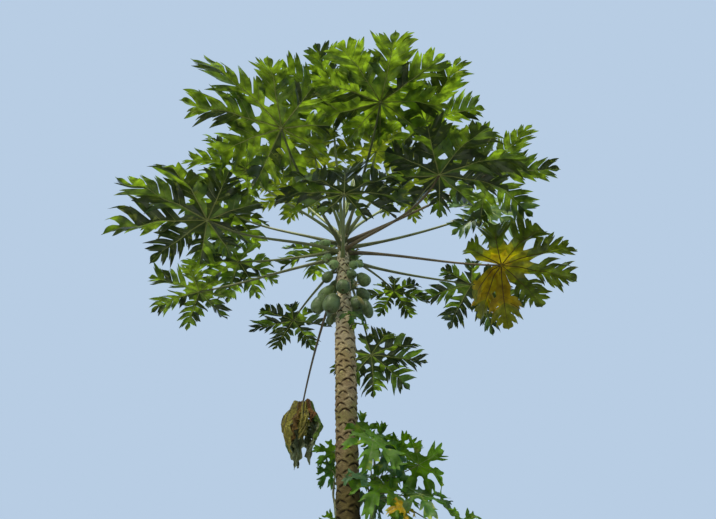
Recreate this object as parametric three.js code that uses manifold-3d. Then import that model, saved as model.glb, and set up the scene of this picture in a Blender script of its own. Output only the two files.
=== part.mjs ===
// Papaya tree: one unbranched trunk with a crown of lobed leaves, fruit round the
// stem below them, one wilted leaf and small side shoots. Millimetres, +Z up,
// origin at the middle of the flat cut at ground level.
import * as THREE from 'three';
import { mergeVertices } from 'three/addons/utils/BufferGeometryUtils.js';
import Module from 'manifold-3d';

const wasm = await Module();
wasm.setup();

// Driving dimensions
const CROWN_HEIGHT = 3660;      // middle of the petiole bases above the ground
const STEM_TIP = 3865;          // top of the woody stem
const LEAN = 70;                // sideways lean of the stem at crown height
const TRUNK_SIDES = 16;
const GAP = 0.35;               // clearance between parts that meet

// Trunk diameters at heights above the ground: root flare, long even stem, narrow top
const TRUNK_PROFILE = [
  [0, 232], [50, 196], [130, 170], [280, 150], [500, 138], [900, 126], [1500, 116],
  [2200, 106], [2700, 108], [3050, 108], [3190, 92], [3350, 80], [3520, 72],
  [3660, 66], [3780, 56], [STEM_TIP, 34],
];
const FLARE_RIDGES = 5;         // shallow ridges of the root flare
const FLARE_DEPTH = 0.09;       // share of the trunk's radius
const FLARE_HEIGHT = 160;

// Petioles of the crown: radii at the stem, along most of the length and under the blade
const PETIOLE = { base: 15, middle: 9, top: 5, swell: 0.25, inset: 10, sides: 5, steps: 5 };

// Blades. Lengths are shares of the middle lobe's length unless a note says otherwise.
const BLADE = {
  fan: 304,                     // degrees from the first lobe to the last
  basal: 0.38,                  // by how much the first and last lobes are shorter
  thickness: 0.02,
  notch: 0.03,                  // depth of the gap behind the hub
  sinus: 0.23,                  // where neighbouring lobes part
  neck: 0.05,                   // half width of a lobe between its fingers
  neckTaper: 0.5,               // share of that width lost by the lobe's tip
  finger: 0.3,                  // longest finger, share of its own lobe
  fingerFade: [1.1, 0.5],       // fingers shorten toward the tip, shares of their lobe
  slant: 50,                    // degrees between a finger and the midrib
  first: 0.26,                  // where the fingers start
  firstAlone: 0.26,             // where a lobe's only finger starts
  last: 0.93,                   // where the fingers end, share of their lobe
  margin: 0.93,                 // share of its own sector that a lobe may fill
};
const MANY_FINGERS = 60;        // lobes nearer the middle one than this have three fingers
const FEW_FINGERS = 100;        // and nearer than this, two

// Crown leaves. az: compass direction from the stem, 0 along +X; out and rise: where
// the petiole ends, from the stem's axis at crown height; leaves and enters: the
// petiole's slope at the stem and under the blade; base: height of its foot against
// crown height; turn, droop and roll: how the blade is turned about its own normal,
// lowered outward and tilted sideways; reach: length of the middle lobe; hang: slope
// at the lobe tips; trim: share by which lobes on the left (+) or right (-) are shorter.
const leaf = (az, out, rise, base, leaves, enters, turn, droop, roll, reach, hang, lobes, trim = 0) =>
  ({ az, out, rise, base, leaves, enters, turn, droop, roll, reach, hang, lobes, trim });
const CROWN = [
  leaf(-160, 800, 0, -25, 12, 25, -16, 2, 9, 550, 12, 9, -0.35),
  leaf(-111, 830, 180, 0, 15, 45, -19, -16, -6, 540, 14, 9, 0.35),
  leaf(-152, 650, 370, 65, 40, 50, 0, 0, 0, 380, 18, 9),
  leaf(-88, 600, -110, -70, 0, 10, 0, 15, 0, 400, 18, 9),
  leaf(-96, 560, 620, 95, 50, 65, -5, -20, 0, 420, 15, 9),
  leaf(-76, 850, 320, 40, 20, 45, -43, -4, 0, 460, 15, 9, -0.2),
  leaf(-51, 800, 0, -10, 0, 45, 20, 0, 0, 460, 18, 9, 0.3),
  leaf(-25, 920, 250, 50, 10, 20, 17, 0, -25, 390, 15, 7),
  leaf(0, 915, 320, 15, 10, 25, -80, 85, 0, 330, 20, 7),
  leaf(5, 960, -50, -20, 5, 5, 0, 3, -8, 460, 12, 9),
  leaf(28, 960, 60, -65, 0, 10, 28, 20, 0, 400, 25, 7),
  leaf(60, 680, 100, -25, 15, 0, 0, 10, 0, 280, 20, 7),
  leaf(77, 800, -290, -85, -5, -30, -30, 10, -15, 400, 18, 9),
  leaf(118, 750, -90, -70, 0, -10, 0, 10, 0, 330, 12, 7),
  leaf(165, 920, -140, -60, 0, 0, 0, 5, 10, 330, 18, 7),
  leaf(151, 820, 210, 0, 10, 20, 0, 5, 0, 400, 18, 9),
  leaf(167, 750, 430, 40, 30, 40, 0, 0, 0, 400, 18, 7),
  leaf(106, 620, 450, 60, 35, 40, 0, -10, 0, 380, 18, 7),
  leaf(-55, 800, 370, 75, 30, 45, -15, -15, 0, 400, 15, 7, 0.2),
  leaf(-58, 370, 510, 105, 60, 75, 0, 0, 0, 340, 20, 7),
  leaf(-119, 350, 470, 105, 60, 75, 0, 0, 0, 340, 20, 7),
  leaf(157, 350, 630, 100, 60, 75, 0, 0, 0, 320, 20, 7),
  leaf(20, 420, 660, 105, 60, 75, 0, 0, 0, 340, 20, 7),
];
const YOUNGEST = 19;            // leaves from here on are the inner, paler ones

// The wilted leaf hangs like a closed umbrella at the end of its petiole
const WILTED = { az: 109, out: 805, rise: -650, base: -110, leaves: -20, enters: -55 };
const WILTED_LENGTH = 540;
const WILTED_RADIUS = 125;
const WILTED_PLEATS = 9;
const WILTED_FOLD = 0.6;        // radius between the pleats, share of the radius on them
const WILTED_CAP = 8;           // how far the folded blade reaches above its hub

// Young leaves still folded at the tip of the stem: direction, lean outward and height
const FOLDED = [[-150, 70, 300], [-30, 90, 380], [60, 60, 250], [130, 100, 330]];
const FOLDED_WIDTH = 34;
const FOLDED_STALK = 8;         // stalk radius
const FOLDED_POINT = 4;         // radius at the tip
const HEART = 18;               // radius of the growing tip that they stand on

// Fruit: direction, height of the middle, distance from the stem's axis, width, length
// and how steeply it hangs, in degrees
const FRUIT = [
  [-168, 3690, 108, 52, 75, 25], [-139, 3519, 72, 54, 68, 45], [-172, 3456, 92, 60, 80, 55],
  [-92, 3337, 92, 76, 95, 60], [-56, 3439, 78, 56, 72, 55], [-40, 3516, 74, 50, 62, 50],
  [5, 3565, 92, 38, 60, 40], [-5, 3441, 112, 72, 95, 50], [8, 3352, 106, 70, 95, 55],
  [-45, 3246, 96, 70, 95, 65], [0, 3252, 125, 58, 125, 75], [-128, 3233, 108, 92, 132, 70],
  [-172, 3270, 138, 80, 125, 65], [165, 3375, 104, 64, 120, 40], [150, 3205, 92, 46, 62, 65],
  [40, 3660, 84, 50, 72, 40], [178, 3610, 96, 42, 62, 45],
  [60, 3470, 84, 62, 84, 55], [100, 3490, 80, 56, 76, 50], [130, 3440, 90, 64, 88, 55],
  [85, 3370, 100, 78, 105, 60], [45, 3300, 104, 74, 110, 65], [120, 3290, 112, 86, 125, 70],
  [82, 3230, 98, 66, 100, 70],
];
const FRUIT_BELLY = 0.18;       // share by which the lower half is wider
const FRUIT_STALK = 7;          // stalk radius
const FRUIT_STALK_REACH = 0.4;  // how far the stalk enters the fruit from its middle
const FRUIT_STALK_FOOT = 12;    // inset and rise of the stalk's foot

// Side shoots: foot and tip of each stem as direction, distance from the trunk's axis
// and height, with its radius and the leaves it carries: direction, distance, height,
// direction the blade faces, droop, roll and reach
const SHOOTS = {
  side_shoot: {
    radius: 13,
    foot: [-50, 30, 1930],
    tip: [-42, 165, 2280],
    leaves: [
      [-63, 157, 2518, -90, -50, 0, 95], [-30, 160, 2479, -60, -45, 0, 110],
      [-64, 266, 2433, -25, 42, 35, 180], [-35, 282, 2425, -10, -10, -40, 110],
      [-36, 377, 2333, -15, 26, -40, 170], [-27, 223, 2347, -20, 40, 20, 150],
      [-45, 224, 2272, -60, 45, 15, 190], [-33, 363, 2221, -20, 22, 30, 170],
      [-71, 170, 2305, -150, 15, -35, 90], [-47, 329, 2161, -60, 60, 0, 85],
      [-24, 501, 2095, -20, 5, -40, 130], [55, 147, 2289, 60, 20, 30, 150],
      [23, 200, 2266, 10, 40, 10, 180], [-48, 267, 2425, -20, 45, 25, 150],
    ],
  },
  back_shoot: {
    radius: 10,
    foot: [125, 30, 2060],
    tip: [120, 120, 2270],
    leaves: [
      [125, 122, 2492, 170, 30, 45, 110], [124, 144, 2412, 165, 45, 40, 100],
      [118, 110, 2168, 180, 0, 45, 100], [85, 230, 2420, 80, 25, 0, 120],
    ],
  },
  trunk_sprout: {
    radius: 5,
    foot: [-52, 30, 3090],
    tip: [-56, 85, 3125],
    leaves: [
      [-64, 112, 3155, -25, 42, 30, 105], [-50, 108, 3105, -30, 25, 30, 75],
    ],
  },
};
const SHOOT = {
  leaves: 45, enters: 80,       // slopes of the stem at its foot and at its tip
  taper: 0.3,                   // share of the stem's radius lost at its tip
  highest: 0.97, spread: 0.25,  // where the petioles root, shares of the stem's length
  petiole: 0.35,                // share of a crown petiole's thickness
  petioleLeaves: 55, petioleEnters: 20,
  hang: 20,
  lobes: 7, fewLobes: 5,        // the fewer on leaves of a shorter reach than fewBelow
  fewBelow: 100,
  sinus: 0.32, neck: 0.1,       // as in BLADE
};

// Colours and roughness
const BARK = [0x9c8a6c, 0.95];
const LEAF_GREEN = [0x3c6420, 0.6];
const YOUNG_GREEN = [0x7fa03c, 0.6];
const WILTED_BROWN = [0x7c7432, 0.85];
const FRUIT_GREEN = [0x4f6b42, 0.5];

const { lerp, degToRad: rad, radToDeg: degrees } = THREE.MathUtils;
const UP = new THREE.Vector3(0, 0, 1);
const tree = new THREE.Group();

function addMesh(name, geometry, [color, roughness]) {
  const material = new THREE.MeshStandardMaterial({ color, roughness, metalness: 0 });
  const mesh = new THREE.Mesh(geometry, material);
  mesh.name = name;
  tree.add(mesh);
}

// A closed geometry as a solid, with its shared vertices merged
function solid(geometry) {
  const plain = geometry.clone();
  plain.deleteAttribute('normal');
  plain.deleteAttribute('uv');
  const merged = mergeVertices(plain, 1e-3);
  return new wasm.Manifold(new wasm.Mesh({
    numProp: 3,
    vertProperties: Float32Array.from(merged.attributes.position.array),
    triVerts: Uint32Array.from(merged.index.array),
  }));
}

function geometryOf(manifold) {
  const mesh = manifold.getMesh();
  const geometry = new THREE.BufferGeometry();
  geometry.setAttribute('position', new THREE.BufferAttribute(mesh.vertProperties, 3));
  geometry.setIndex(new THREE.BufferAttribute(mesh.triVerts, 1));
  return geometry;
}

function mapVertices(geometry, move) {
  const position = geometry.attributes.position;
  const point = new THREE.Vector3();
  for (let i = 0; i < position.count; i += 1) {
    point.fromBufferAttribute(position, i);
    move(point);
    position.setXYZ(i, point.x, point.y, point.z);
  }
  return geometry;
}

// Unit vector toward a compass direction, raised by a slope
const direction = (az, slope) => new THREE.Vector3(
  Math.cos(rad(az)) * Math.cos(rad(slope)),
  Math.sin(rad(az)) * Math.cos(rad(slope)),
  Math.sin(rad(slope)),
);
const sideways = (az) => new THREE.Vector3(-Math.sin(rad(az)), Math.cos(rad(az)), 0);
const leanAt = (z) => -LEAN * (z / CROWN_HEIGHT) ** 2;

// A point given by direction, distance from the stem's leaning axis and height
const trunkPoint = (az, out, height) =>
  direction(az, 0).multiplyScalar(out).add(new THREE.Vector3(leanAt(height), 0, height));

// The same, with its distance and rise taken from the stem's axis at crown height
const crownPoint = (az, out, rise) =>
  direction(az, 0).multiplyScalar(out).add(new THREE.Vector3(-LEAN, 0, CROWN_HEIGHT + rise));

// The trunk is a turned profile, ridged at the root flare and sheared along its lean
function trunkGeometry(extra = 0) {
  const profile = TRUNK_PROFILE.map(([z, d]) => new THREE.Vector2(d / 2 + extra, z));
  profile.unshift(new THREE.Vector2(0, 0));
  profile.push(new THREE.Vector2(0, STEM_TIP));
  const turned = new THREE.LatheGeometry(profile, TRUNK_SIDES).rotateX(Math.PI / 2);
  return mapVertices(turned, (p) => {
    const ridge = 1 + FLARE_DEPTH * Math.cos(FLARE_RIDGES * Math.atan2(p.y, p.x))
      * Math.exp(-p.z / FLARE_HEIGHT);
    p.set(p.x * ridge + leanAt(p.z), p.y * ridge, p.z);
  });
}

// A tapered limb along a curve that lies in the upright plane toward az
function limb(curve, az, radiusAt, sides, steps) {
  const tube = new THREE.CylinderGeometry(1, 1, 1, sides, steps);
  const across = sideways(az);
  return mapVertices(tube, (p) => {
    const t = p.y + 0.5;
    const lift = new THREE.Vector3().crossVectors(curve.getTangent(t), across).normalize();
    const r = radiusAt(t);
    const [u, v] = [p.x * r, p.z * r];
    p.copy(curve.getPoint(t)).addScaledVector(across, -u).addScaledVector(lift, v);
  });
}

// A stalk from start to end that sets out at one slope and arrives at another
function stalkCurve(start, end, az, leaves, enters) {
  const third = start.distanceTo(end) / 3;
  return new THREE.CubicBezierCurve3(
    start,
    start.clone().addScaledVector(direction(az, leaves), third),
    end.clone().addScaledVector(direction(az, enters), -third),
    end,
  );
}

// Half of a lobe's outline, from the sinus to the tip: slanted fingers with the blade
// cut back to the midrib between them, none past the line to the next lobe
function lobeSide(reach, length, halfAngle, fingers, cut) {
  const slant = rad(BLADE.slant);
  const bound = Math.tan(rad(halfAngle * BLADE.margin));
  const first = (fingers > 1 ? BLADE.first : BLADE.firstAlone) * reach;
  const pitch = (BLADE.last * length - first) / fingers;
  const sinus = cut.sinus * reach;
  const points = [[sinus * Math.cos(rad(halfAngle)), sinus * Math.sin(rad(halfAngle))]];
  for (let half = fingers > 1 ? 0 : 1; half < 2 * fingers; half += 1) {
    const t = first + (half * pitch) / 2;
    const [fadeEnd, fadeLength] = BLADE.fingerFade;
    const fade = Math.min(1, (fadeEnd - t / length) / fadeLength);
    const full = BLADE.finger * length * fade;
    const neck = cut.neck * reach * (1 - (BLADE.neckTaper * t) / length);
    const room = (t * bound) / (Math.sin(slant) - Math.cos(slant) * bound);
    const span = Math.min(half % 2 ? full : neck, room);
    points.push([t + span * Math.cos(slant), span * Math.sin(slant)]);
  }
  return points;
}

// Palmate outline of a blade with its hub at the origin and its middle lobe along +X
function bladeShape(reach, lobes, trim, fingerLimit, cut) {
  const middle = (lobes - 1) / 2;
  const step = BLADE.fan / (lobes - 1);
  const outline = [];
  for (let i = -middle; i <= middle; i += 1) {
    const angle = step * i;
    const away = Math.abs(angle);
    const share = 1 - BLADE.basal * (away / (BLADE.fan / 2)) ** 2;
    const shorter = 1 - Math.abs(trim) * Math.max(0, Math.sign(trim) * Math.sin(rad(angle)));
    const length = reach * share * shorter;
    const grown = away < MANY_FINGERS ? 3 : away < FEW_FINGERS ? 2 : 1;
    const side = lobeSide(reach, length, step / 2, Math.min(fingerLimit, grown), cut);
    const right = side.map(([x, y]) => [x, -y]);
    const both = [...right, [length, 0], ...side.reverse()];
    const [c, s] = [Math.cos(rad(angle)), Math.sin(rad(angle))];
    both.forEach(([x, y]) => outline.push(new THREE.Vector2(x * c - y * s, x * s + y * c)));
  }
  outline.push(new THREE.Vector2(-BLADE.notch * reach, 0));
  return new THREE.Shape(outline);
}

// The blade is cut out flat, then bent so that each lobe curves down toward its tip
function bladeGeometry(spec, hub, fingerLimit = 3, cut = BLADE) {
  const { az, turn, droop, roll, reach, hang, lobes, trim } = spec;
  const depth = BLADE.thickness * reach;
  const shape = bladeShape(reach, lobes, trim, fingerLimit, cut);
  const plate = new THREE.ExtrudeGeometry(shape, { depth, bevelEnabled: false, steps: 1 });
  const forward = direction(az + turn, -droop);
  const level = sideways(az + turn);
  const top = new THREE.Vector3().crossVectors(forward, level);
  const side = level.multiplyScalar(Math.cos(rad(roll))).addScaledVector(top, Math.sin(rad(roll)));
  const normal = new THREE.Vector3().crossVectors(forward, side);
  const arc = reach / rad(hang);
  return mapVertices(plate, (p) => {
    const r = Math.hypot(p.x, p.y) + 1e-6;
    const shrink = (arc * Math.sin(r / arc)) / r;
    const drop = arc * (1 - Math.cos(r / arc));
    const [x, y, z] = [p.x * shrink, p.y * shrink, p.z - depth / 2 - drop];
    p.copy(hub).addScaledVector(forward, x).addScaledVector(side, y).addScaledVector(normal, z);
  });
}

const petioleRadius = (t) => (t < PETIOLE.swell
  ? lerp(PETIOLE.base, PETIOLE.middle, t / PETIOLE.swell)
  : lerp(PETIOLE.middle, PETIOLE.top, (t - PETIOLE.swell) / (1 - PETIOLE.swell)));

const trunk = solid(trunkGeometry());
const trunkRoom = solid(trunkGeometry(GAP));
addMesh('trunk', geometryOf(trunk), BARK);

// What is left of a body clear of the trunk and of its neighbours, in one piece
function clearOf(body, neighbours) {
  const cut = neighbours.reduce((left, other) => left.subtract(other), body.subtract(trunkRoom));
  const pieces = cut.decompose();
  return pieces.reduce((largest, piece) => (piece.volume() > largest.volume() ? piece : largest));
}

// Petioles are trimmed where they meet the stem and where their feet crowd each other
const feet = [];
function petiole(hub, { az, base, leaves, enters }) {
  const curve = stalkCurve(crownPoint(az, PETIOLE.inset, base), hub, az, leaves, enters);
  const tube = (extra) => {
    const radiusAt = (t) => petioleRadius(t) + extra;
    return solid(limb(curve, az, radiusAt, PETIOLE.sides, PETIOLE.steps));
  };
  const body = clearOf(tube(0), feet);
  feet.push(tube(GAP));
  return body;
}

CROWN.forEach((spec, index) => {
  const hub = crownPoint(spec.az, spec.out, spec.rise);
  const body = petiole(hub, spec).add(solid(bladeGeometry(spec, hub)));
  const name = `leaf_${String(index + 1).padStart(2, '0')}`;
  addMesh(name, geometryOf(body), index < YOUNGEST ? LEAF_GREEN : YOUNG_GREEN);
});

// The collapsed blade: a pleated body round a hanging axis, wide below its middle
function wiltedBlade(hub) {
  const column = new THREE.CylinderGeometry(1, 1, 1, 2 * WILTED_PLEATS, 5);
  return mapVertices(column, (p) => {
    const down = 0.5 - p.y;
    const around = -Math.atan2(p.z, p.x);
    const onFold = Math.floor((around / Math.PI) * WILTED_PLEATS) % 2;
    const swell = Math.sin(Math.PI * Math.min(1, 0.08 + 0.85 * down ** 1.3));
    const outer = WILTED_RADIUS * swell * (onFold ? WILTED_FOLD : 1);
    const r = Math.hypot(p.x, p.z) > 0.5 ? outer : 0;
    const z = hub.z + WILTED_CAP - WILTED_LENGTH * down;
    p.set(hub.x + r * Math.cos(around), hub.y + r * Math.sin(around), z);
  });
}
const wiltedHub = crownPoint(WILTED.az, WILTED.out, WILTED.rise);
const wiltedBody = petiole(wiltedHub, WILTED).add(solid(wiltedBlade(wiltedHub)));
addMesh('wilted_leaf', geometryOf(wiltedBody), WILTED_BROWN);

// Folded young leaves: slim spindles on short stalks that join over the tip of the stem
function foldedLeaves() {
  const heart = new THREE.Vector3(leanAt(STEM_TIP), 0, STEM_TIP + GAP + HEART);
  let body = solid(new THREE.SphereGeometry(HEART, 6, 4).translate(heart.x, heart.y, heart.z));
  const radiusAt = (t) => {
    const spindle = (FOLDED_WIDTH / 2) * Math.sin((Math.PI * (t - 0.4)) / 0.63);
    return t < 0.45 ? FOLDED_STALK : Math.max(FOLDED_POINT, spindle);
  };
  FOLDED.forEach(([az, out, height]) => {
    const tip = heart.clone().addScaledVector(direction(az, 0), out).addScaledVector(UP, height);
    const curve = stalkCurve(heart, tip, az, 60, 85);
    body = body.add(solid(limb(curve, az, radiusAt, 4, 6)));
  });
  return clearOf(body, feet);
}
addMesh('folded_leaves', geometryOf(foldedLeaves()), YOUNG_GREEN);

// A fruit widens toward its lower third and ends in a blunt point
function fruitGeometry([az, height, out, width, length, slope], extra = 0) {
  const centre = trunkPoint(az, out, height);
  const axis = direction(az, -slope);
  const side = sideways(az);
  const lift = new THREE.Vector3().crossVectors(axis, side);
  return mapVertices(new THREE.SphereGeometry(1, 6, 5), (p) => {
    const along = p.y * (length / 2 + extra);
    const fat = (width / 2 + extra) * (1 + FRUIT_BELLY * p.y);
    const [u, v] = [p.x * fat, p.z * fat];
    p.copy(centre).addScaledVector(axis, along).addScaledVector(side, u).addScaledVector(lift, -v);
  });
}

function fruitStalk([az, height, out, , length, slope]) {
  const top = trunkPoint(az, out, height)
    .addScaledVector(direction(az, -slope), -FRUIT_STALK_REACH * length);
  const foot = trunkPoint(az, FRUIT_STALK_FOOT, top.z + FRUIT_STALK_FOOT);
  return limb(new THREE.LineCurve3(foot, top), az, () => FRUIT_STALK, 4, 1);
}

const hung = [];
FRUIT.forEach((spec, index) => {
  const body = solid(fruitGeometry(spec)).add(solid(fruitStalk(spec)));
  const name = `papaya_${String(index + 1).padStart(2, '0')}`;
  addMesh(name, geometryOf(clearOf(body, [...feet, ...hung])), FRUIT_GREEN);
  hung.push(solid(fruitGeometry(spec, GAP)));
});

// A side shoot: a short stem with small leaves on thin petioles, fused in one piece
function shootSolid({ foot, tip, radius, leaves }) {
  const [start, end] = [trunkPoint(...foot), trunkPoint(...tip)];
  const heading = degrees(Math.atan2(end.y - start.y, end.x - start.x));
  const stem = stalkCurve(start, end, heading, SHOOT.leaves, SHOOT.enters);
  let body = solid(limb(stem, heading, (t) => radius * (1 - SHOOT.taper * t), 6, 4));
  leaves.forEach(([az, out, height, face, droop, roll, reach], index) => {
    const root = stem.getPoint(SHOOT.highest - (SHOOT.spread * index) / leaves.length);
    const hub = trunkPoint(az, out, height);
    const away = degrees(Math.atan2(hub.y - root.y, hub.x - root.x));
    const curve = stalkCurve(root, hub, away, SHOOT.petioleLeaves, SHOOT.petioleEnters);
    const stalk = limb(curve, away, (t) => SHOOT.petiole * petioleRadius(t), 3, 3);
    const { hang } = SHOOT;
    const lobes = reach < SHOOT.fewBelow ? SHOOT.fewLobes : SHOOT.lobes;
    const spec = { az: face, turn: 0, droop, roll, reach, hang, lobes, trim: 0 };
    body = body.add(solid(stalk)).add(solid(bladeGeometry(spec, hub, 1, SHOOT)));
  });
  return clearOf(body, []);
}
Object.entries(SHOOTS).forEach(([name, spec]) => {
  addMesh(name, geometryOf(shootSolid(spec)), YOUNG_GREEN);
});

export default tree;
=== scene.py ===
"""Papaya tree: bark, leaves, veins, fruit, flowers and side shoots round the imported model.

Lengths are in metres and angles in degrees. The pieces grow by the same rules as the
solids they stand for: the same tables of leaves, fruit and shoots, carried on to finer
forms.
"""
import math
from collections import namedtuple
from functools import lru_cache

import bpy
import numpy as np
from bpy.props import FloatProperty, FloatVectorProperty, IntProperty, PointerProperty
from bpy.types import Operator, Panel, PropertyGroup
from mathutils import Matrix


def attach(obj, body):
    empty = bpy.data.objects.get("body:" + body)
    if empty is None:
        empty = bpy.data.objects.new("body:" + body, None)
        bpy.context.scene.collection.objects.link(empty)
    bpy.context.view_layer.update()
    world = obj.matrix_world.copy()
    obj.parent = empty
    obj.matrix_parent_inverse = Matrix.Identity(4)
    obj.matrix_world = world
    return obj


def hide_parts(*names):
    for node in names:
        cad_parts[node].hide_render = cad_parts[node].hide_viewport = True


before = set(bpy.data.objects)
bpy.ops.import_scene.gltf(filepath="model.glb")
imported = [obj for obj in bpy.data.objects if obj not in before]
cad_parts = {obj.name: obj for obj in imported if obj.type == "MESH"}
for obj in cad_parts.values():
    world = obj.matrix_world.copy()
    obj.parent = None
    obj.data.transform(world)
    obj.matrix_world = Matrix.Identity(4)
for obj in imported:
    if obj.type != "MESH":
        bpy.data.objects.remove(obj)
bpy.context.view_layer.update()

bl_info = {
    "name": "Papaya Tree",
    "version": (1, 0, 0),
    "blender": (4, 5, 0),
    "location": "View3D > Sidebar > Papaya Tree",
    "description": "Grows a fruiting papaya tree: trunk, leaves, fruit, flowers and side shoots",
    "category": "Add Mesh",
}

BODY = "root"

# Heights and lean of the stem
CROWN_HEIGHT = 3.66
STEM_TIP = 3.865
LEAN = 0.07

# Trunk diameters at heights above the ground, and the ridges of its root flare
TRUNK_PROFILE = [
    (0, 0.232), (0.05, 0.196), (0.13, 0.170), (0.28, 0.150), (0.5, 0.138), (0.9, 0.126),
    (1.5, 0.116), (2.2, 0.106), (2.7, 0.108), (3.05, 0.108), (3.19, 0.092), (3.35, 0.080),
    (3.52, 0.072), (3.66, 0.066), (3.78, 0.056), (STEM_TIP, 0.034),
]
FLARE_RIDGES = 5
FLARE_DEPTH = 0.09
FLARE_HEIGHT = 0.16
FINE_FROM = 1.75        # the mesh has closer rows from this height on
TRUNK_ROWS = (330, 640)  # rows below and above it
TRUNK_COLUMNS = 100
SMOOTHED_ROWS = 9       # rows on either side that round off the profile's corners
PLAIN_RIM = 0.05        # length at both ends over which the relief fades
# Soft lumps: height, number down and round the trunk, and seed
LUMPS = [(0.0012, (45, 8), 3), (0.0004, (220, 34), 5)]

# Leaf scars: how much higher each stands than the last one and how strong it is, at
# heights up the stem, its angle from the last one, its half width in radians, its rise,
# and the scatter of its height, angle, width and rise
SCAR_SPACING = ([0, 0.6, 1.8, 2.6, 3.2, 3.8], [0.014, 0.011, 0.0088, 0.0080, 0.0076, 0.006])
SCAR_STRENGTH = ([0, 1.4, 2.4], [0.3, 0.7, 1.0])
GOLDEN_ANGLE = 137.5
SCAR_HALF_WIDTH = 0.60
SCAR_RISE = 0.017
SCAR_SCATTER = (0.005, 9, 0.25, 0.35)
GROOVE_DEPTH_AT = 0.0038
LIP_AT = 0.003
LIP_WIDTH = 0.005
KNOB_SIZE = 0.0035
NEXT_SCARS = 9          # scars up and down the stem that can reach a row

# Petiole radii at the stem, along most of its length and under the blade
PETIOLE_BASE = 0.015
PETIOLE_MIDDLE = 0.009
PETIOLE_TOP = 0.005
PETIOLE_SWELL = 0.25
PETIOLE_INSET = 0.010
CLASP = 0.35            # share by which it is thicker at its foot and at its knee
CLASP_LENGTH = 0.03
KNEE_LENGTH = 0.015
PETIOLE_POINTS = 44
PETIOLE_SIDES = 12

# Blades. Lengths are shares of the middle lobe's length unless a note says otherwise.
FAN = 304
NINTH = 19              # half a lobe's angle on a blade of nine lobes
BASAL_LOSS = 0.38       # by how much the first and last lobes are shorter
HUB_HOLE = 0.02
NECK_TAPER = 0.40       # share of a lobe's width lost by its tip
FINGER = 0.36           # longest finger, share of its own lobe
FINGER_FADE = (1.12, 0.5)
FINGER_PEAK = 0.56      # where along its foot a finger is longest
FINGER_FLARE = 0.45     # share by which a finger is wider at its end than at its foot
FINGER_SCATTER = 0.16   # share by which fingers differ in length
FORWARD_BEND = 7        # degrees by which a row bends forward on its way out
DISH = 0.1              # rise of a lobe's rims, share of their distance from the midrib
TIP_CURVE = 6.8         # brings the widest place of an end leaflet to its half width
THINNEST_TIP = 0.0008
# How an outline is cut: where neighbouring lobes part on a blade of nine lobes, further
# out on one of fewer, half width of a lobe between its fingers, where the fingers start,
# half width of the lobe's end leaflet, and a finger's length along its foot, from 0 to 1
Cut = namedtuple("Cut", "sinus neck first bulge outline")
# crown leaves have fingers with a tooth on their back and one on their front
CROWN_CUT = Cut(0.23, 0.050, 0.23, 0.055, (
    [0, 0.06, 0.13, 0.19, 0.25, 0.34, 0.44, 0.56, 0.63, 0.69, 0.75, 0.81, 0.88, 0.94, 1],
    [0, 0.00, 0.38, 0.66, 0.58, 0.76, 0.88, 1.00, 0.80, 0.60, 0.76, 0.62, 0.30, 0.03, 0],
))
# shoot leaves are less divided, with pointed fingers
SHOOT_CUT = Cut(0.24, 0.115, 0.32, 0.022, (
    [0.00, 0.20, 0.50, 0.76, 0.83, 1.00],
    [0.20, 0.34, 0.66, 1.00, 0.74, 0.14],
))
SLANT = 50              # degrees between the first finger and the midrib
SLANT_LOSS = 10         # degrees by which the last finger leans further forward
LAST_FINGER = 0.81      # where the fingers end, share of their lobe
SECTOR = 1.6            # share of its own sector that a lobe may fill
WIDEST_SECTOR = 39      # and the angle that it may fill at most
MANY_FINGERS = 60       # lobes nearer the middle one than this have most fingers
FEW_FINGERS = 130
WEB_ROWS = 6
COLLAR_ROWS = 3
FINGER_ROWS = 16
SHOOT_FINGER_ROWS = 12
TIP_ROWS = 7
ACROSS = np.array([0, 0.2, 0.48, 0.76, 1.0])
HALF = len(ACROSS) - 1  # the midrib's column
WAVES = (19, 23, 13)    # radians per middle lobe of the three slow waves
RIPPLE_REACH = 0.45     # reach of the blade that a habit's ripple is given for
RIB_POINTS = 16
RIB_TAPER = 0.82        # share of its thickness that a midrib loses, and a finger's rib
SIDE_RIB_TAPER = 0.7
SIDE_RIB = 0.5          # thickness of a finger's rib, share of the midrib's
RIB_SINK = 0.4          # how far a rib's middle lies under the blade, share of its radius
BOSS = 1.3              # radius of the boss over the hub's hole, and its height to that
BOSS_HEIGHT = 0.6

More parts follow.
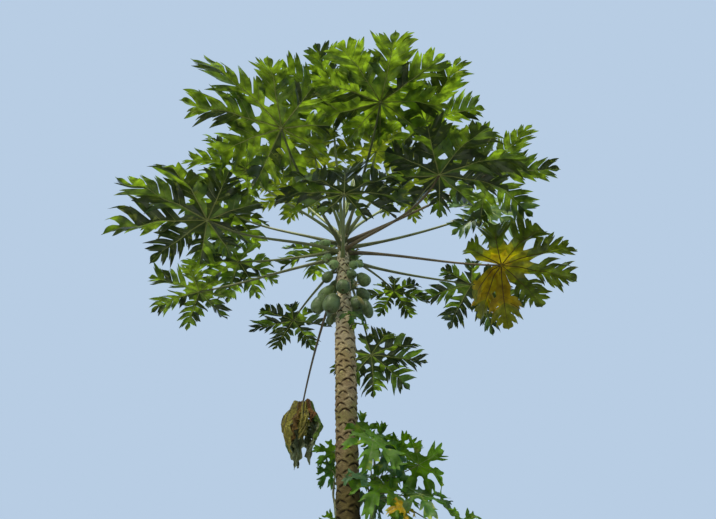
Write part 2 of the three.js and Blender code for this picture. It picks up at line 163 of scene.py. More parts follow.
# One leaf of the crown: direction of the petiole, how far out and up it ends, height of
# its foot, slopes at both ends, turn, droop and roll of the blade, length of the middle
# lobe, slope at the lobe tips, number of lobes, and how much shorter one side is
Leaf = namedtuple(
    "Leaf", "az out rise base leaves enters turn droop roll reach hang lobes trim", defaults=[0]
)
CROWN = [
    Leaf(-160, 0.80, 0.00, -0.025, 12, 25, -16, 2, 9, 0.55, 12, 9, -0.35),
    Leaf(-111, 0.83, 0.18, 0.000, 15, 45, -19, -16, -6, 0.54, 14, 9, 0.35),
    Leaf(-152, 0.65, 0.37, 0.065, 40, 50, 0, 0, 0, 0.38, 18, 9),
    Leaf(-88, 0.60, -0.11, -0.070, 0, 10, 0, 15, 0, 0.40, 18, 9),
    Leaf(-96, 0.56, 0.62, 0.095, 50, 65, -5, -20, 0, 0.42, 15, 9),
    Leaf(-76, 0.85, 0.32, 0.040, 20, 45, -43, -4, 0, 0.46, 15, 9, -0.2),
    Leaf(-51, 0.80, 0.00, -0.010, 0, 45, 20, 0, 0, 0.46, 18, 9, 0.3),
    Leaf(-25, 0.92, 0.25, 0.050, 10, 20, 17, 0, -25, 0.39, 15, 7),
    Leaf(0, 0.915, 0.32, 0.015, 10, 25, -80, 85, 0, 0.33, 20, 7),
    Leaf(5, 0.96, -0.05, -0.020, 5, 5, 0, 3, -8, 0.46, 12, 9),
    Leaf(28, 0.96, 0.06, -0.065, 0, 10, 28, 20, 0, 0.40, 25, 7),
    Leaf(60, 0.68, 0.10, -0.025, 15, 0, 0, 10, 0, 0.28, 20, 7),
    Leaf(77, 0.80, -0.29, -0.085, -5, -30, -30, 10, -15, 0.40, 18, 9),
    Leaf(118, 0.75, -0.09, -0.070, 0, -10, 0, 10, 0, 0.33, 12, 7),
    Leaf(165, 0.92, -0.14, -0.060, 0, 0, 0, 5, 10, 0.33, 18, 7),
    Leaf(151, 0.82, 0.21, 0.000, 10, 20, 0, 5, 0, 0.40, 18, 9),
    Leaf(167, 0.75, 0.43, 0.040, 30, 40, 0, 0, 0, 0.40, 18, 7),
    Leaf(106, 0.62, 0.45, 0.060, 35, 40, 0, -10, 0, 0.38, 18, 7),
    Leaf(-55, 0.80, 0.37, 0.075, 30, 45, -15, -15, 0, 0.40, 15, 7, 0.2),
    Leaf(-58, 0.37, 0.51, 0.105, 60, 75, 0, 0, 0, 0.34, 20, 7),
    Leaf(-119, 0.35, 0.47, 0.105, 60, 75, 0, 0, 0, 0.34, 20, 7),
    Leaf(157, 0.35, 0.63, 0.100, 60, 75, 0, 0, 0, 0.32, 20, 7),
    Leaf(20, 0.42, 0.66, 0.105, 60, 75, 0, 0, 0, 0.34, 20, 7),
]
YOUNGEST = 19           # leaves from here on are the inner, paler ones
BACK_HALF = 10          # mature leaves from here on stand behind the trunk
YELLOWING = 9           # the leaf that turns yellow round its hub
HANGING_FROM = 50       # its lobes past this angle hang
HANG_START = 0.15       # from this share of their length on
HANG_PULL = 0.4         # and are drawn in by this share of their drop
STALK_TONES = {2: 2, 3: 2, 4: 2, 6: 1, 7: 1, 9: 1, 18: 2}  # 1 for brown, 2 for pale
# Tone of each crown leaf, by index into the leaf tones: leaves in shade take the dark tone 2 as painted
# shade, lit ones the bright tones 1 and 3 as painted light, 3 with a painted sky sheen; fingers also
# swap tones at random, painting light and shade from finger to finger
LEAF_TONE_AND_SHADE_OF = {0: 2, 3: 2, 4: 3, 5: 1, 6: 2, 8: 3, 10: 2, 11: 2, 12: 2, 13: 2, 15: 1, 17: 3, 18: 1}
OTHER_TONES = 0.50      # share of fingers that don't take their leaf's tone
YELLOW_TO = (0.13, 0.22, 0.5)  # yellow ends here on long, short and hanging lobes
OLIVE_TO = 0.36         # and olive here on those that don't hang

# The wilted leaf, and how far out and how wide its lobes are along their length
WILTED = Leaf(109, 0.805, -0.65, -0.110, -20, -55, 0, 0, 0, 0.54, 0, 9)
WILTED_REACH = ([0, 0.08, 0.18, 0.3, 0.6, 0.8, 1], [0, 0.34, 0.5, 0.6, 1.0, 0.85, 0.5])
WILTED_WIDTH = ([0, 0.12, 0.4, 0.75, 0.92, 1], [0.2, 0.5, 0.95, 1.15, 0.95, 0.2])
WILTED_THICKNESS = 0.0012
WILTED_RIB = (0.003, 0.0008)  # radius at the hub and at the tip
KNOT_HEIGHT = 0.012     # of the knot where the lobes meet the stalk
KNOT_RADIUS = 0.014

# Its lobes: direction, length, rise of the shoulder, reach outward, half width, seed of
# the crumples, and tone: brown, olive, green, pale, dark or orange
WILTED_LOBES = [
    (180, 0.28, 0.030, 0.125, 0.050, 1, 1), (170, 0.38, 0.028, 0.105, 0.052, 12, 2),
    (-120, 0.30, 0.010, 0.085, 0.056, 2, 0), (-80, 0.27, 0.014, 0.080, 0.062, 3, 1),
    (-50, 0.28, 0.014, 0.085, 0.046, 4, 1), (-15, 0.16, 0.038, 0.085, 0.036, 5, 5),
    (5, 0.29, 0.030, 0.130, 0.052, 6, 2), (30, 0.34, 0.030, 0.105, 0.052, 7, 3),
    (-150, 0.38, 0.015, 0.120, 0.052, 8, 1), (95, 0.45, 0.030, 0.070, 0.068, 9, 3),
    (135, 0.43, 0.030, 0.100, 0.062, 10, 4), (65, 0.42, 0.030, 0.085, 0.060, 11, 4),
]

# Young leaves still folded: direction, lean outward and height
FOLDED = [(-150, 0.07, 0.30), (-30, 0.09, 0.38), (60, 0.06, 0.25), (130, 0.10, 0.33)]
FOLDED_WIDTH = 0.034
FOLDED_STALK = ([0, 0.5, 1], [0.008, 0.005, 0.003])
FOLDED_FROM = 0.4       # where along its length the folded blade starts
FOLDED_SIDES = 24
PLEATS = 6
PLEAT_DEPTH = 0.22
HEART = 0.018           # radius of the growing tip that they stand on

# Fruit: direction, height of the middle, distance from the stem's axis, width, length
# and how steeply it hangs
FRUIT = [
    (-168, 3.690, 0.108, 0.052, 0.075, 25), (-139, 3.519, 0.072, 0.054, 0.068, 45),
    (-172, 3.456, 0.092, 0.060, 0.080, 55), (-92, 3.337, 0.092, 0.076, 0.095, 60),
    (-56, 3.439, 0.078, 0.056, 0.072, 55), (-40, 3.516, 0.074, 0.050, 0.062, 50),
    (5, 3.565, 0.092, 0.038, 0.060, 40), (-5, 3.441, 0.112, 0.072, 0.095, 50),
    (8, 3.352, 0.106, 0.070, 0.095, 55), (-45, 3.246, 0.096, 0.070, 0.095, 65),
    (0, 3.252, 0.125, 0.058, 0.125, 75), (-128, 3.233, 0.108, 0.092, 0.132, 70),
    (-172, 3.270, 0.138, 0.080, 0.125, 65), (165, 3.375, 0.104, 0.064, 0.120, 40),
    (150, 3.205, 0.092, 0.046, 0.062, 65), (40, 3.660, 0.084, 0.050, 0.072, 40),
    (178, 3.610, 0.096, 0.042, 0.062, 45), (60, 3.470, 0.084, 0.062, 0.084, 55),
    (100, 3.490, 0.080, 0.056, 0.076, 50), (130, 3.440, 0.090, 0.064, 0.088, 55),
    (85, 3.370, 0.100, 0.078, 0.105, 60), (45, 3.300, 0.104, 0.074, 0.110, 65),
    (120, 3.290, 0.112, 0.086, 0.125, 70), (82, 3.230, 0.098, 0.066, 0.100, 70),
]
RIPENING = 9            # the fruit with a yellow cheek
YOUNG_FRUIT = (0, 1, 5, 6, 15, 16)  # the small pale ones at the top
MIDDLE_FRUIT = (2, 4, 7, 13, 17, 18)
RIDGED_FRUIT = (7, 8)
FRUIT_BELLY = 0.18      # share by which the lower half is wider
FRUIT_ROWS = 36
FRUIT_SIDES = 40
DEEP_RIDGES = 2.2
RIPE_CHEEK = np.array([0.8, -0.5, 0.2])  # the way that cheek faces
FRUIT_STALK = 0.0065
FRUIT_STALK_INSET = 0.012
STALK_INTO_FRUIT = 0.44  # share of the fruit's length from its middle to the stalk's end

# Flowers: direction, distance, height, slope and length
FLOWERS = [
    (-120, 0.075, 3.74, 30, 0.022), (-80, 0.078, 3.69, 20, 0.024), (-100, 0.082, 3.60, 10, 0.022),
    (-60, 0.112, 3.335, 5, 0.032), (-25, 0.086, 3.63, 20, 0.022), (-160, 0.088, 3.56, 10, 0.022),
    (30, 0.090, 3.58, 10, 0.022), (75, 0.084, 3.64, 20, 0.024), (110, 0.086, 3.58, 10, 0.022),
    (150, 0.084, 3.66, 20, 0.024),
]
PETALS = 5

# Side shoots: radius, foot and tip of the stem as direction, distance and height, and
# for each leaf direction, distance, height, direction it faces, droop, roll, reach, tone;
# tone 3 is a painted sky sheen
Shoot = namedtuple("Shoot", "radius foot tip leaves")
SHOOTS = {
    "side_shoot": Shoot(0.013, (-50, 0.03, 1.93), (-42, 0.165, 2.28), [
        (-63, 0.157, 2.518, -90, -50, 0, 0.095, 0), (-30, 0.160, 2.479, -60, -45, 0, 0.11, 0),
        (-64, 0.266, 2.433, -25, 42, 35, 0.18, 0), (-35, 0.282, 2.425, -10, -10, -40, 0.11, 0),
        (-36, 0.377, 2.333, -15, 26, -40, 0.17, 0), (-27, 0.223, 2.347, -20, 40, 20, 0.15, 0),
        (-45, 0.224, 2.272, -60, 45, 15, 0.19, 0), (-33, 0.363, 2.221, -20, 22, 30, 0.17, 2),
        (-71, 0.170, 2.305, -150, 15, -35, 0.09, 3), (-47, 0.329, 2.161, -60, 60, 0, 0.085, 1),
        (-24, 0.501, 2.095, -20, 5, -40, 0.13, 0), (55, 0.147, 2.289, 60, 20, 30, 0.15, 2),
        (23, 0.200, 2.266, 10, 40, 10, 0.18, 2), (-48, 0.267, 2.425, -20, 45, 25, 0.15, 3),
    ]),
    "back_shoot": Shoot(0.010, (125, 0.03, 2.06), (120, 0.12, 2.27), [
        (125, 0.122, 2.492, 170, 30, 45, 0.11, 0), (124, 0.144, 2.412, 165, 45, 40, 0.1, 2),
        (118, 0.110, 2.168, 180, 0, 45, 0.1, 0), (85, 0.230, 2.420, 80, 25, 0, 0.12, 2),
    ]),
    "trunk_sprout": Shoot(0.005, (-52, 0.03, 3.09), (-56, 0.085, 3.125), [
        (-64, 0.112, 3.155, -25, 42, 30, 0.105, 2), (-50, 0.108, 3.105, -30, 25, 30, 0.075, 4),
    ]),
}
SMALL_SHOOT_LEAF = 0.100  # reach below which a leaf has five lobes, not seven
SHOOT_PETIOLE = 0.35    # share of a crown petiole's thickness
SHOOT_STEM_SLOPES = (45, 80)
SHOOT_PETIOLE_SLOPES = (55, 20)
SHOOT_POINTS = 40
SHOOT_HANG = 20         # slope at the lobe tips of its leaves
SHOOT_LEAVES = (0.97, 0.25)  # share of the stem where they start, and that they take up

# The photograph's viewpoint
IMAGE_WIDTH = 716
FOCAL_PIXELS = 560
EYE = (0.0197, -2.6399, 1.6)
CAMERA_RISE = 37
SENSOR_WIDTH = 36


# Small geometry

def direction(az, slope):
    """Unit vector toward a compass direction, raised by a slope."""
    a, s = math.radians(az), math.radians(slope)
    return np.array([math.cos(a) * math.cos(s), math.sin(a) * math.cos(s), math.sin(s)])


def sideways(az):
    """Level unit vector a quarter turn to the left of a compass direction."""
    return np.array([-math.sin(math.radians(az)), math.cos(math.radians(az)), 0.0])


def compass(vector):
    """The compass direction of a vector."""
    return math.degrees(math.atan2(vector[1], vector[0]))


def lean_at(height):
    """How far the stem's axis has leant at a height: the square of the height."""
    return -LEAN * (height / CROWN_HEIGHT) ** 2


def trunk_point(az, out, height):
    """A point given by direction, distance from the leaning axis and height."""
    return direction(az, 0) * out + np.array([lean_at(height), 0, height])


def crown_point(az, out, rise):
    """A point given from the stem's axis at crown height."""
    return direction(az, 0) * out + np.array([-LEAN, 0, CROWN_HEIGHT + rise])


def unit(vectors):
    """Vectors scaled to length one."""
    return vectors / np.maximum(np.linalg.norm(vectors, axis=-1, keepdims=True), 1e-12)


def stalk_path(start, end, az, leaves, enters, points):
    """Cubic Bezier curve that sets out and arrives at given slopes, handles a third long."""
    t = np.linspace(0, 1, points)[:, None]
    third = np.linalg.norm(end - start) / 3
    a = start + third * direction(az, leaves)
    b = end - third * direction(az, enters)
    return (1 - t) ** 3 * start + 3 * (1 - t) ** 2 * t * a + 3 * (1 - t) * t**2 * b + t**3 * end


def tube_rings(paths, radii, across, sides):
    """Rings of points round one or many paths: at each point a circle of that radius,
    spanned by the across direction and by the one square to it and to the path."""
    tangent = unit(np.gradient(paths, axis=-2))
    across = unit(across - tangent * np.sum(across * tangent, -1, keepdims=True))
    lift = np.cross(across, tangent)
    angle = 2 * np.pi * np.arange(sides) / sides
    spoke = across[..., None, :] * np.cos(angle)[:, None] + lift[..., None, :] * np.sin(angle)[:, None]
    return paths[..., None, :] + spoke * np.asarray(radii)[..., None, None]


def turned_rings(centre, axis, along, radii, sides):
    """Rings of a body turned about an axis, at places along it from its centre."""
    across = np.cross(axis, [0.0, 0.0, 1.0] if abs(axis[2]) < 0.9 else [1.0, 0.0, 0.0])
    return tube_rings(centre + axis * np.asarray(along)[:, None], radii, across, sides)


def ball_rings(centre, axis, high, wide, rows, sides):
    """Rings of a flat ball: a cosine of its height along the axis, a sine of its width."""
    angle = np.linspace(0.05, np.pi - 0.05, rows)
    return turned_rings(centre, axis, -high * np.cos(angle), wide * np.sin(angle), sides)


def smooth_noise(shape, cells, seed):
    """Noise that repeats in both directions: random numbers with the waves shorter than
    the cells damped in the Fourier transform, scaled to a spread of one."""
    rows, columns = shape
    spectrum = np.fft.rfft2(np.random.default_rng(seed).normal(size=shape))
    down = np.fft.fftfreq(rows)[:, None] * rows / cells[0]
    along = np.fft.rfftfreq(columns)[None, :] * columns / cells[1]
    field = np.fft.irfft2(spectrum * np.exp(-(down**2) - along**2), shape)
    return (field - field.mean()) / field.std()


# Meshes

class Piece:
    """Grids, tubes and caps gathered into the arrays of one mesh."""

    def __init__(self, name, materials):
        self.name = name
        self.materials = materials
        self.points, self.faces, self.paints, self.marks = [], [], [], []
        self.count = 0

    def keep_faces(self, faces, paint):
        """Keeps faces and their tones, one for all or one for each."""
        self.faces.append(faces)
        self.paints.append(np.broadcast_to(paint, len(faces)))

    def grid(self, points, paint=0, wrap=False, mark=0.0):
        """One or more grids of rows by columns. A face looks toward its rows' direction
        crossed with its columns' direction. wrap joins the last column to the first."""
        rows, columns = points.shape[-3:-1]
        points = points.reshape(-1, 3)
        index = np.arange(rows * columns).reshape(rows, columns)
        if wrap:
            index = np.concatenate([index, index[:, :1]], 1)
        corners = [index[:-1, :-1], index[1:, :-1], index[1:, 1:], index[:-1, 1:]]
        quads = np.stack(corners, -1).reshape(-1, 4)
        starts = np.arange(self.count, self.count + len(points), rows * columns)
        self.keep_faces((quads + starts[:, None, None]).reshape(-1, 4), paint)
        self.marks.append(np.broadcast_to(np.ravel(mark), len(points)))
        self.points.append(points)
        self.count += len(points)

    def tube(self, rings, paint=0, mark=0.0):
        """One or more tubes given by their rings, closed by a flat cap at both ends."""
        rows, sides = rings.shape[-3:-1]
        starts = np.arange(self.count, self.count + rings.size // 3, rows * sides)[:, None]
        self.grid(rings, paint, True, mark)
        paints = np.ravel(paint)
        self.keep_faces(starts + np.arange(sides), paints[0])
        self.keep_faces(starts + (rows - 1) * sides + np.arange(sides)[::-1], paints[-1])

    def sheet(self, points, upper, under, thickness):
        """A blade of two skins that meet at its rim. The lower one is set back by the
        thickness times one less the fourth power of the distance from the midrib."""
        normal = unit(np.cross(np.gradient(points, axis=0), np.gradient(points, axis=1)))
        from_rib = np.linspace(-1, 1, points.shape[1])
        depth = thickness * (1 - from_rib**4)
        self.grid(points, upper)
        if np.ndim(under):
            under = np.reshape(under, (len(points) - 1, -1))[:, ::-1].ravel()
        self.grid((points - normal * depth[:, None])[:, ::-1], under)

    def finish(self, slot, *nodes):
        """Makes the mesh object, hangs it on the body's empty and hides the imported parts that it
        stands for.
        """
        mesh = bpy.data.meshes.new(self.name)
        points = np.concatenate(self.points)
        loops = np.concatenate([f.ravel() for f in self.faces]).astype(np.int32)
        sizes = np.concatenate([np.full(len(f), f.shape[1]) for f in self.faces])
        starts = np.concatenate([[0], np.cumsum(sizes)[:-1]]).astype(np.int32)
        mesh.vertices.add(len(points))
        mesh.vertices.foreach_set("co", points.astype(np.float32).ravel())
        mesh.loops.add(len(loops))
        mesh.loops.foreach_set("vertex_index", loops)
        mesh.polygons.add(len(sizes))
        mesh.polygons.foreach_set("loop_start", starts)
        mesh.polygons.foreach_set("material_index", np.concatenate(self.paints).astype(np.int32))
        mesh.polygons.foreach_set("use_smooth", np.ones(len(sizes), bool))
        mesh.update(calc_edges=True)
        if mesh.validate():
            raise RuntimeError(f"{self.name} has faces that Blender had to mend")
        mark = mesh.attributes.new("mark", "FLOAT", "POINT")
        mark.data.foreach_set("value", np.concatenate(self.marks).astype(np.float32))
        for material in self.materials:
            mesh.materials.append(material)
        made = bpy.data.objects.new(self.name, mesh)
        bpy.context.scene.collection.objects.link(made)
        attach(made, BODY)
        if nodes:
            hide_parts(*nodes)
        return made


# Materials

def paint(red, green, blue):
    """Linear colour from display values of 0 to 255."""
    return tuple(((c + 14) / 269) ** 2.4 if c > 10 else c / 3295 for c in (red, green, blue))


def shade(colour, factor):
    """A colour made darker or lighter."""
    return tuple(min(1.0, c * factor) for c in colour)


def mixed(a, b, share):
    """Colour a with a share of colour b."""
    return tuple(x + (y - x) * share for x, y in zip(a, b))


def node(tree, kind, settings=(), **sockets):
    """A shader node. Its sockets, named with _ for a space, take values or other sockets."""
    made = tree.nodes.new("ShaderNode" + kind)
    for name, value in dict(settings).items():
        setattr(made, name, value)
    for name, value in sockets.items():
        key = int(name[1:]) if name[0] == "s" and name[1:].isdigit() else name.replace("_", " ")
        socket = made.inputs[key]
        if isinstance(value, bpy.types.NodeSocket):
            tree.links.new(value, socket)
        elif socket.type == "RGBA":
            socket.default_value = (*value, 1.0)
        else:
            socket.default_value = value
    return made


def new_material(name):
    """An empty node material, with its tree and a place to read the piece's own metres."""
    material = bpy.data.materials.new(name)
    material.use_nodes = True
    material.node_tree.nodes.clear()
    tree = material.node_tree
    return material, tree, node(tree, "TexCoord").outputs["Object"]


def mix(tree, factor, a, b, blend="MIX"):
    """Colour a turned into colour b by a factor."""
    settings = {"data_type": "RGBA", "blend_type": blend}
    return node(tree, "Mix", settings, s0=factor, s6=a, s7=b).outputs[2]


def noise(tree, place, scale, detail=2.0, low=0.35, high=0.65):
    """Noise in the piece's own metres, stretched so that low and high become 0 and 1."""
    raw = node(tree, "TexNoise", Vector=place, Scale=scale, Detail=detail).outputs[0]
    return spread(tree, raw, low, high)


def spread(tree, value, low, high, start=0.0, end=1.0):
    """A value's stretch from low to high, laid out from start to end."""
    return node(tree, "MapRange", s0=value, s1=low, s2=high, s3=start, s4=end).outputs[0]


def mark_of(tree):
    """The value that the piece keeps at each point."""
    return node(tree, "Attribute", {"attribute_name": "mark"}).outputs["Fac"]


def relief(tree, height, strength, distance):
    """Fine relief from a height."""
    return node(tree, "Bump", Strength=strength, Distance=distance, Height=height).outputs[0]


def close(tree, shader):
    """Joins the shader to the material's output."""
    tree.links.new(shader, node(tree, "OutputMaterial").inputs[0])


def combined(tree, operation, a, b):
    """Two values joined by a Math node."""
    return node(tree, "Math", {"operation": operation}, s0=a, s1=b).outputs[0]


def coat(tree, colour, roughness, bump, specular=0.5):
    """The gloss and the fine relief of a surface over its colour."""
    return node(
        tree, "BsdfPrincipled", Base_Color=colour, Roughness=roughness, Normal=bump,
        Specular_IOR_Level=specular,
    ).outputs[0]


def leaf_tissue(tree, place, colour, glow, share, roughness):
    """Ends a leaf's material: a net of fine veins, and light let through from behind."""
    cells = node(tree, "TexVoronoi", {"feature": "DISTANCE_TO_EDGE"}, Vector=place, Scale=95.0)
    net = spread(tree, cells.outputs["Distance"], 0.0, 0.12)
    skin = coat(tree, colour, roughness, relief(tree, net, 0.35, 0.0012), 0.6)
    through = node(tree, "BsdfTranslucent", Color=glow).outputs[0]
    close(tree, node(tree, "MixShader", s0=share, s1=skin, s2=through).outputs[0])


def leaf_material(name, green, glow, share=0.4, roughness=0.33):
    """Mottled green leaf tissue with a few paler specks."""
    material, tree, place = new_material(name)
    broad = noise(tree, place, 9.0, 3.0)
    fine = noise(tree, place, 60.0, 3.0)
    colour = mix(tree, broad, shade(green, 0.5), shade(green, 1.5))
    colour = mix(tree, fine, colour, shade(green, 0.85))
    specks = noise(tree, place, 26.0, 2.0, 0.63, 0.73)
    colour = mix(tree, specks, colour, paint(168, 180, 66))
    patches = noise(tree, place, 20.0, 3.0)
    glow = mix(tree, patches, shade(glow, 0.5), shade(glow, 1.45))
    leaf_tissue(tree, place, colour, glow, share, roughness)
    return material


def stalk_material(name, colour, streak, roughness=0.5):
    """Smooth stalk skin with soft patches of a second colour, both as display values."""
    material, tree, place = new_material(name)
    patches = noise(tree, place, 14.0, 3.0)
    fine = noise(tree, place, 220.0, 2.0)
    skin = mix(tree, patches, paint(*colour), paint(*streak))
    skin = mix(tree, fine, skin, shade(paint(*colour), 0.86))
    close(tree, coat(tree, skin, roughness, relief(tree, fine, 0.25, 0.001)))
    return material


def bark_material(name, bark):
    """Pale bark with dark scars, lichen patches, and green toward its foot and its tip. Painted light
    and shade in it: a dark band where the side shoots shade the trunk, the pale plates up the stem made
    brighter against the shade of fruit and petioles, painted shade in part of the scar grooves and a
    painted highlight on the scar knobs.
    """
    material, tree, place = new_material(name)
    scar = mark_of(tree)
    patches = noise(tree, place, 16.0, 4.0)
    drawn = node(tree, "Mapping", Vector=place, Scale=(1.0, 1.0, 3.0)).outputs[0]
    grain = noise(tree, drawn, 90.0, 5.0)
    colour = mix(tree, patches, shade(bark, 0.5), shade(bark, 1.35))
    height = node(tree, "SeparateXYZ", Vector=place).outputs["Z"]
    top = spread(tree, height, 2.95, 3.2)
    low = spread(tree, height, 3.1, 2.8)
    # painted shade: the bark turns dark from 2.85 m down to 2.24 m, where the side shoots shade the
    # trunk, and less dark again below 2.1 m
    dark = spread(tree, height, 2.85, 2.24, 0.0, 0.95)
    dark = combined(tree, "MULTIPLY", dark, spread(tree, height, 1.5, 2.1, 0.3, 1.0))
    mossy = combined(tree, "MULTIPLY", low, noise(tree, place, 12.0))
    colour = mix(tree, mossy, colour, paint(190, 184, 104))
    # above 2.95 m the stem takes pale peach plates, its own colour, made brighter still as painted light
    # against the shade that fruit and petioles cast on it
    colour = mix(tree, top, mix(tree, grain, paint(168, 140, 98), colour), paint(255, 238, 194))
    colour = mix(tree, dark, colour, mix(tree, patches, paint(44, 38, 18), paint(88, 78, 40)))
    colour = mix(tree, spread(tree, height, 3.66, 3.84), colour, paint(128, 142, 84))
    # dark colour in the scar grooves: partly the scars' own dark rims, partly painted shade under their
    # lips; paler up the stem and darker in the shoots' painted shade
    groove_tone_and_shade = mix(tree, top, paint(56, 40, 24), paint(104, 70, 42))
    groove_tone_and_shade = mix(tree, dark, groove_tone_and_shade, paint(36, 30, 18))
    colour = mix(tree, spread(tree, scar, 0.15, 0.8), colour, groove_tone_and_shade)
    # the pale colour on the scars' knobs is a painted highlight, dimmed inside the painted shade of the
    # side shoots
    pale = mix(tree, dark, paint(248, 232, 150), paint(120, 108, 60))
    colour = mix(tree, spread(tree, scar, -0.3, -0.9), colour, pale)
    close(tree, coat(tree, colour, 0.9, relief(tree, grain, 0.5, 0.0025), 0.2))
    return material


def fruit_material(name, skin_colour, ripe=None):
    """Waxy fruit skin, mottled and dusted with pale bloom; the broad mottle also paints light and shade,
    and the pale dust painted highlights. A ripe colour follows the mark.
    """
    material, tree, place = new_material(name)
    # the broad mottle is partly the skin's own tone and partly painted light and shade; the pale dust is
    # partly bloom and partly painted highlights
    broad = noise(tree, place, 18.0, 3.0)
    bloom_and_highlight = noise(tree, place, 150.0, 4.0, 0.45, 0.8)
    colour = mix(tree, broad, shade(skin_colour, 0.45), shade(skin_colour, 1.5))
    if ripe:
        colour = mix(tree, mark_of(tree), colour, ripe)
    colour = mix(tree, bloom_and_highlight, colour, shade(skin_colour, 1.7))
    close(tree, coat(tree, colour, 0.4, relief(tree, bloom_and_highlight, 0.12, 0.001), 0.4))
    return material


def wilted_material(name, colour, blotch):
    """Limp dried tissue with blotches, both colours as display values."""
    material, tree, place = new_material(name)
    broad = noise(tree, place, 18.0, 4.0)
    fine = noise(tree, place, 80.0, 4.0)
    skin = mix(tree, broad, paint(*colour), paint(*blotch))
    skin = mix(tree, fine, skin, shade(paint(*blotch), 0.6))
    leaf_tissue(tree, place, skin, shade(paint(*colour), 1.5), 0.2, 0.8)
    return material


# Blades

Rows = namedtuple("Rows", "place base finger slant number beside veins")


def lobe_rows(reach, length, half, fingers, finger_rows, cut):
    """Rows of a lobe from the hub to its tip, as places on the midrib. base is the width
    that the blade has there without its fingers, finger what the fingers add, slant the
    angle of the row to the midrib, and beside its distance from its finger's own rib. Up
    to the sinus the rows end on the line halfway to the next lobe."""
    slant = math.radians(SLANT)
    middle = math.radians(half)
    back = math.cos(middle) - math.sin(middle) / math.tan(slant)
    radius = np.linspace(HUB_HOLE, cut.sinus * half / NINTH, WEB_ROWS) * reach
    web = radius * back
    web_width = radius * math.sin(middle) / math.sin(slant)
    start = cut.first * reach
    step = np.linspace(0, 1, COLLAR_ROWS + 1)[1:]
    collar = web[-1] + (start - web[-1]) * step
    neck_at = cut.neck * reach
    first_neck = neck_at * (1 - NECK_TAPER * start / length)
    collar_width = web_width[-1] * (1 - step**0.5) + first_neck * step**0.5
    last = LAST_FINGER * length
    count = np.arange(1, fingers * finger_rows + 1)
    along = start + (last - start) * count / (fingers * finger_rows)
    neck = neck_at * (1 - NECK_TAPER * along / length)
    turned = np.radians(SLANT - SLANT_LOSS * (along - start) / (last - start))
    bound = math.tan(math.radians(min(half * SECTOR, WIDEST_SECTOR)))
    room = along * bound / (np.sin(turned) - np.cos(turned) * bound)
    fade = np.minimum(1, (FINGER_FADE[0] - along / length) / FINGER_FADE[1])
    full = np.minimum(FINGER * length * fade, room)
    phase = (count / finger_rows) % 1.0
    added = np.maximum(full - neck, 0) * np.interp(phase, *cut.outline)
    beside = (phase - FINGER_PEAK) * (last - start) / fingers * (added > 0)
    end = np.linspace(0, 1, TIP_ROWS + 1)[1:]
    point = neck[-1] * (1 - end) + TIP_CURVE * cut.bulge * length * end * (1 - end) ** 2
    plain = WEB_ROWS + COLLAR_ROWS

    def laid(before, among, after):
        """Numbers for the rows before, among and after the fingers."""
        return np.concatenate([np.full(plain, before), among, np.full(TIP_ROWS, after)])

    return Rows(
        np.concatenate([web, collar, along, last + (length - last) * end]),
        np.concatenate([web_width, collar_width, neck, np.maximum(point, THINNEST_TIP)]),
        laid(0, added, 0),
        laid(slant, turned, turned[-1]),
        laid(0, (count - 1) // finger_rows, fingers - 1),
        laid(0, beside, 0),
        plain + finger_rows * np.arange(fingers) + round(FINGER_PEAK * finger_rows) - 1,
    )


# How a blade carries itself: droop, twist and sweep of its lobes' tips, fold along the
# midrib, then of its fingers curl, crease and tilt in degrees, ripples, the cut of its
# outline, and how far its left lobes hang
Habit = namedtuple("Habit", "droop twist sweep fold curl crease tilt ripple cut hang")
FIRM = Habit(0.20, 30, 0.06, 0.50, 2.6, 0.45, 42, 0.008, CROWN_CUT, 0)
HANGING = FIRM._replace(cut=CROWN_CUT._replace(sinus=0.36, neck=0.15, first=0.38), hang=0.75)
YOUNG = Habit(0.50, 34, 0.10, 0.50, 2.6, 0.40, 34, 0.014, SHOOT_CUT, 0)


def lobe_sheet(reach, length, half, fingers, finger_rows, rng, habit):
    """A lobe in the blade's own plane, its midrib along the first direction: each row runs
    out from the midrib to both sides at its slant, bent a little forward. The third
    number is the height over the plane: a fold along the midrib, a crease along each
    finger, fingers that curl down, and a lobe that twists and droops toward its tip."""
    rows = lobe_rows(reach, length, half, fingers, finger_rows, habit.cut)
    sinus = habit.cut.sinus * half / NINTH * reach
    v = np.concatenate([-ACROSS[:0:-1], ACROSS])
    left = v[None, :] > 0

    def by_finger(values):
        """One number for each finger, laid out over the rows and columns."""
        return np.where(left, values[rows.number, 1][:, None], values[rows.number, 0][:, None])

    size = by_finger(1 + FINGER_SCATTER * rng.uniform(-1, 1, (fingers, 2)))
    curl = by_finger(habit.curl * rng.uniform(-0.2, 1.6, (fingers, 2)))
    tilt = by_finger(np.tan(np.radians(habit.tilt * rng.uniform(-0.6, 1, (fingers, 2)))))
    finger = rows.finger[:, None] * size
    out = (rows.base[:, None] + finger) * np.abs(v)
    bend = rows.slant[:, None] + np.radians(FORWARD_BEND) * (1 - np.abs(v))
    x = rows.place[:, None] + out * np.cos(bend)
    y = out * np.sin(bend) * np.sign(v)
    grown = np.clip((x - sinus) / (length - sinus), 0, 1.2)
    past_neck = np.clip((out - rows.base[:, None]) / (0.4 * FINGER * length), 0, 1)
    beside = rows.beside[:, None] * past_neck
    x = x + FINGER_FLARE * beside
    lift = habit.fold * rng.uniform(0.1, 1.2) * np.abs(y) * np.minimum(1, 3 * grown)
    lift += DISH * np.abs(y)
    lift += habit.crease * np.abs(beside) + tilt * beside
    lift -= curl * (finger * np.abs(v)) ** 2 * np.minimum(1, 2 * grown)
    lift += y * math.tan(math.radians(habit.twist * rng.uniform(-1, 1))) * grown
    lift -= habit.droop * length * rng.uniform(-0.1, 1.0) * grown**2
    y = y + habit.sweep * length * rng.uniform(-1, 1) * grown**2
    return np.stack([x, y, lift], -1), rows


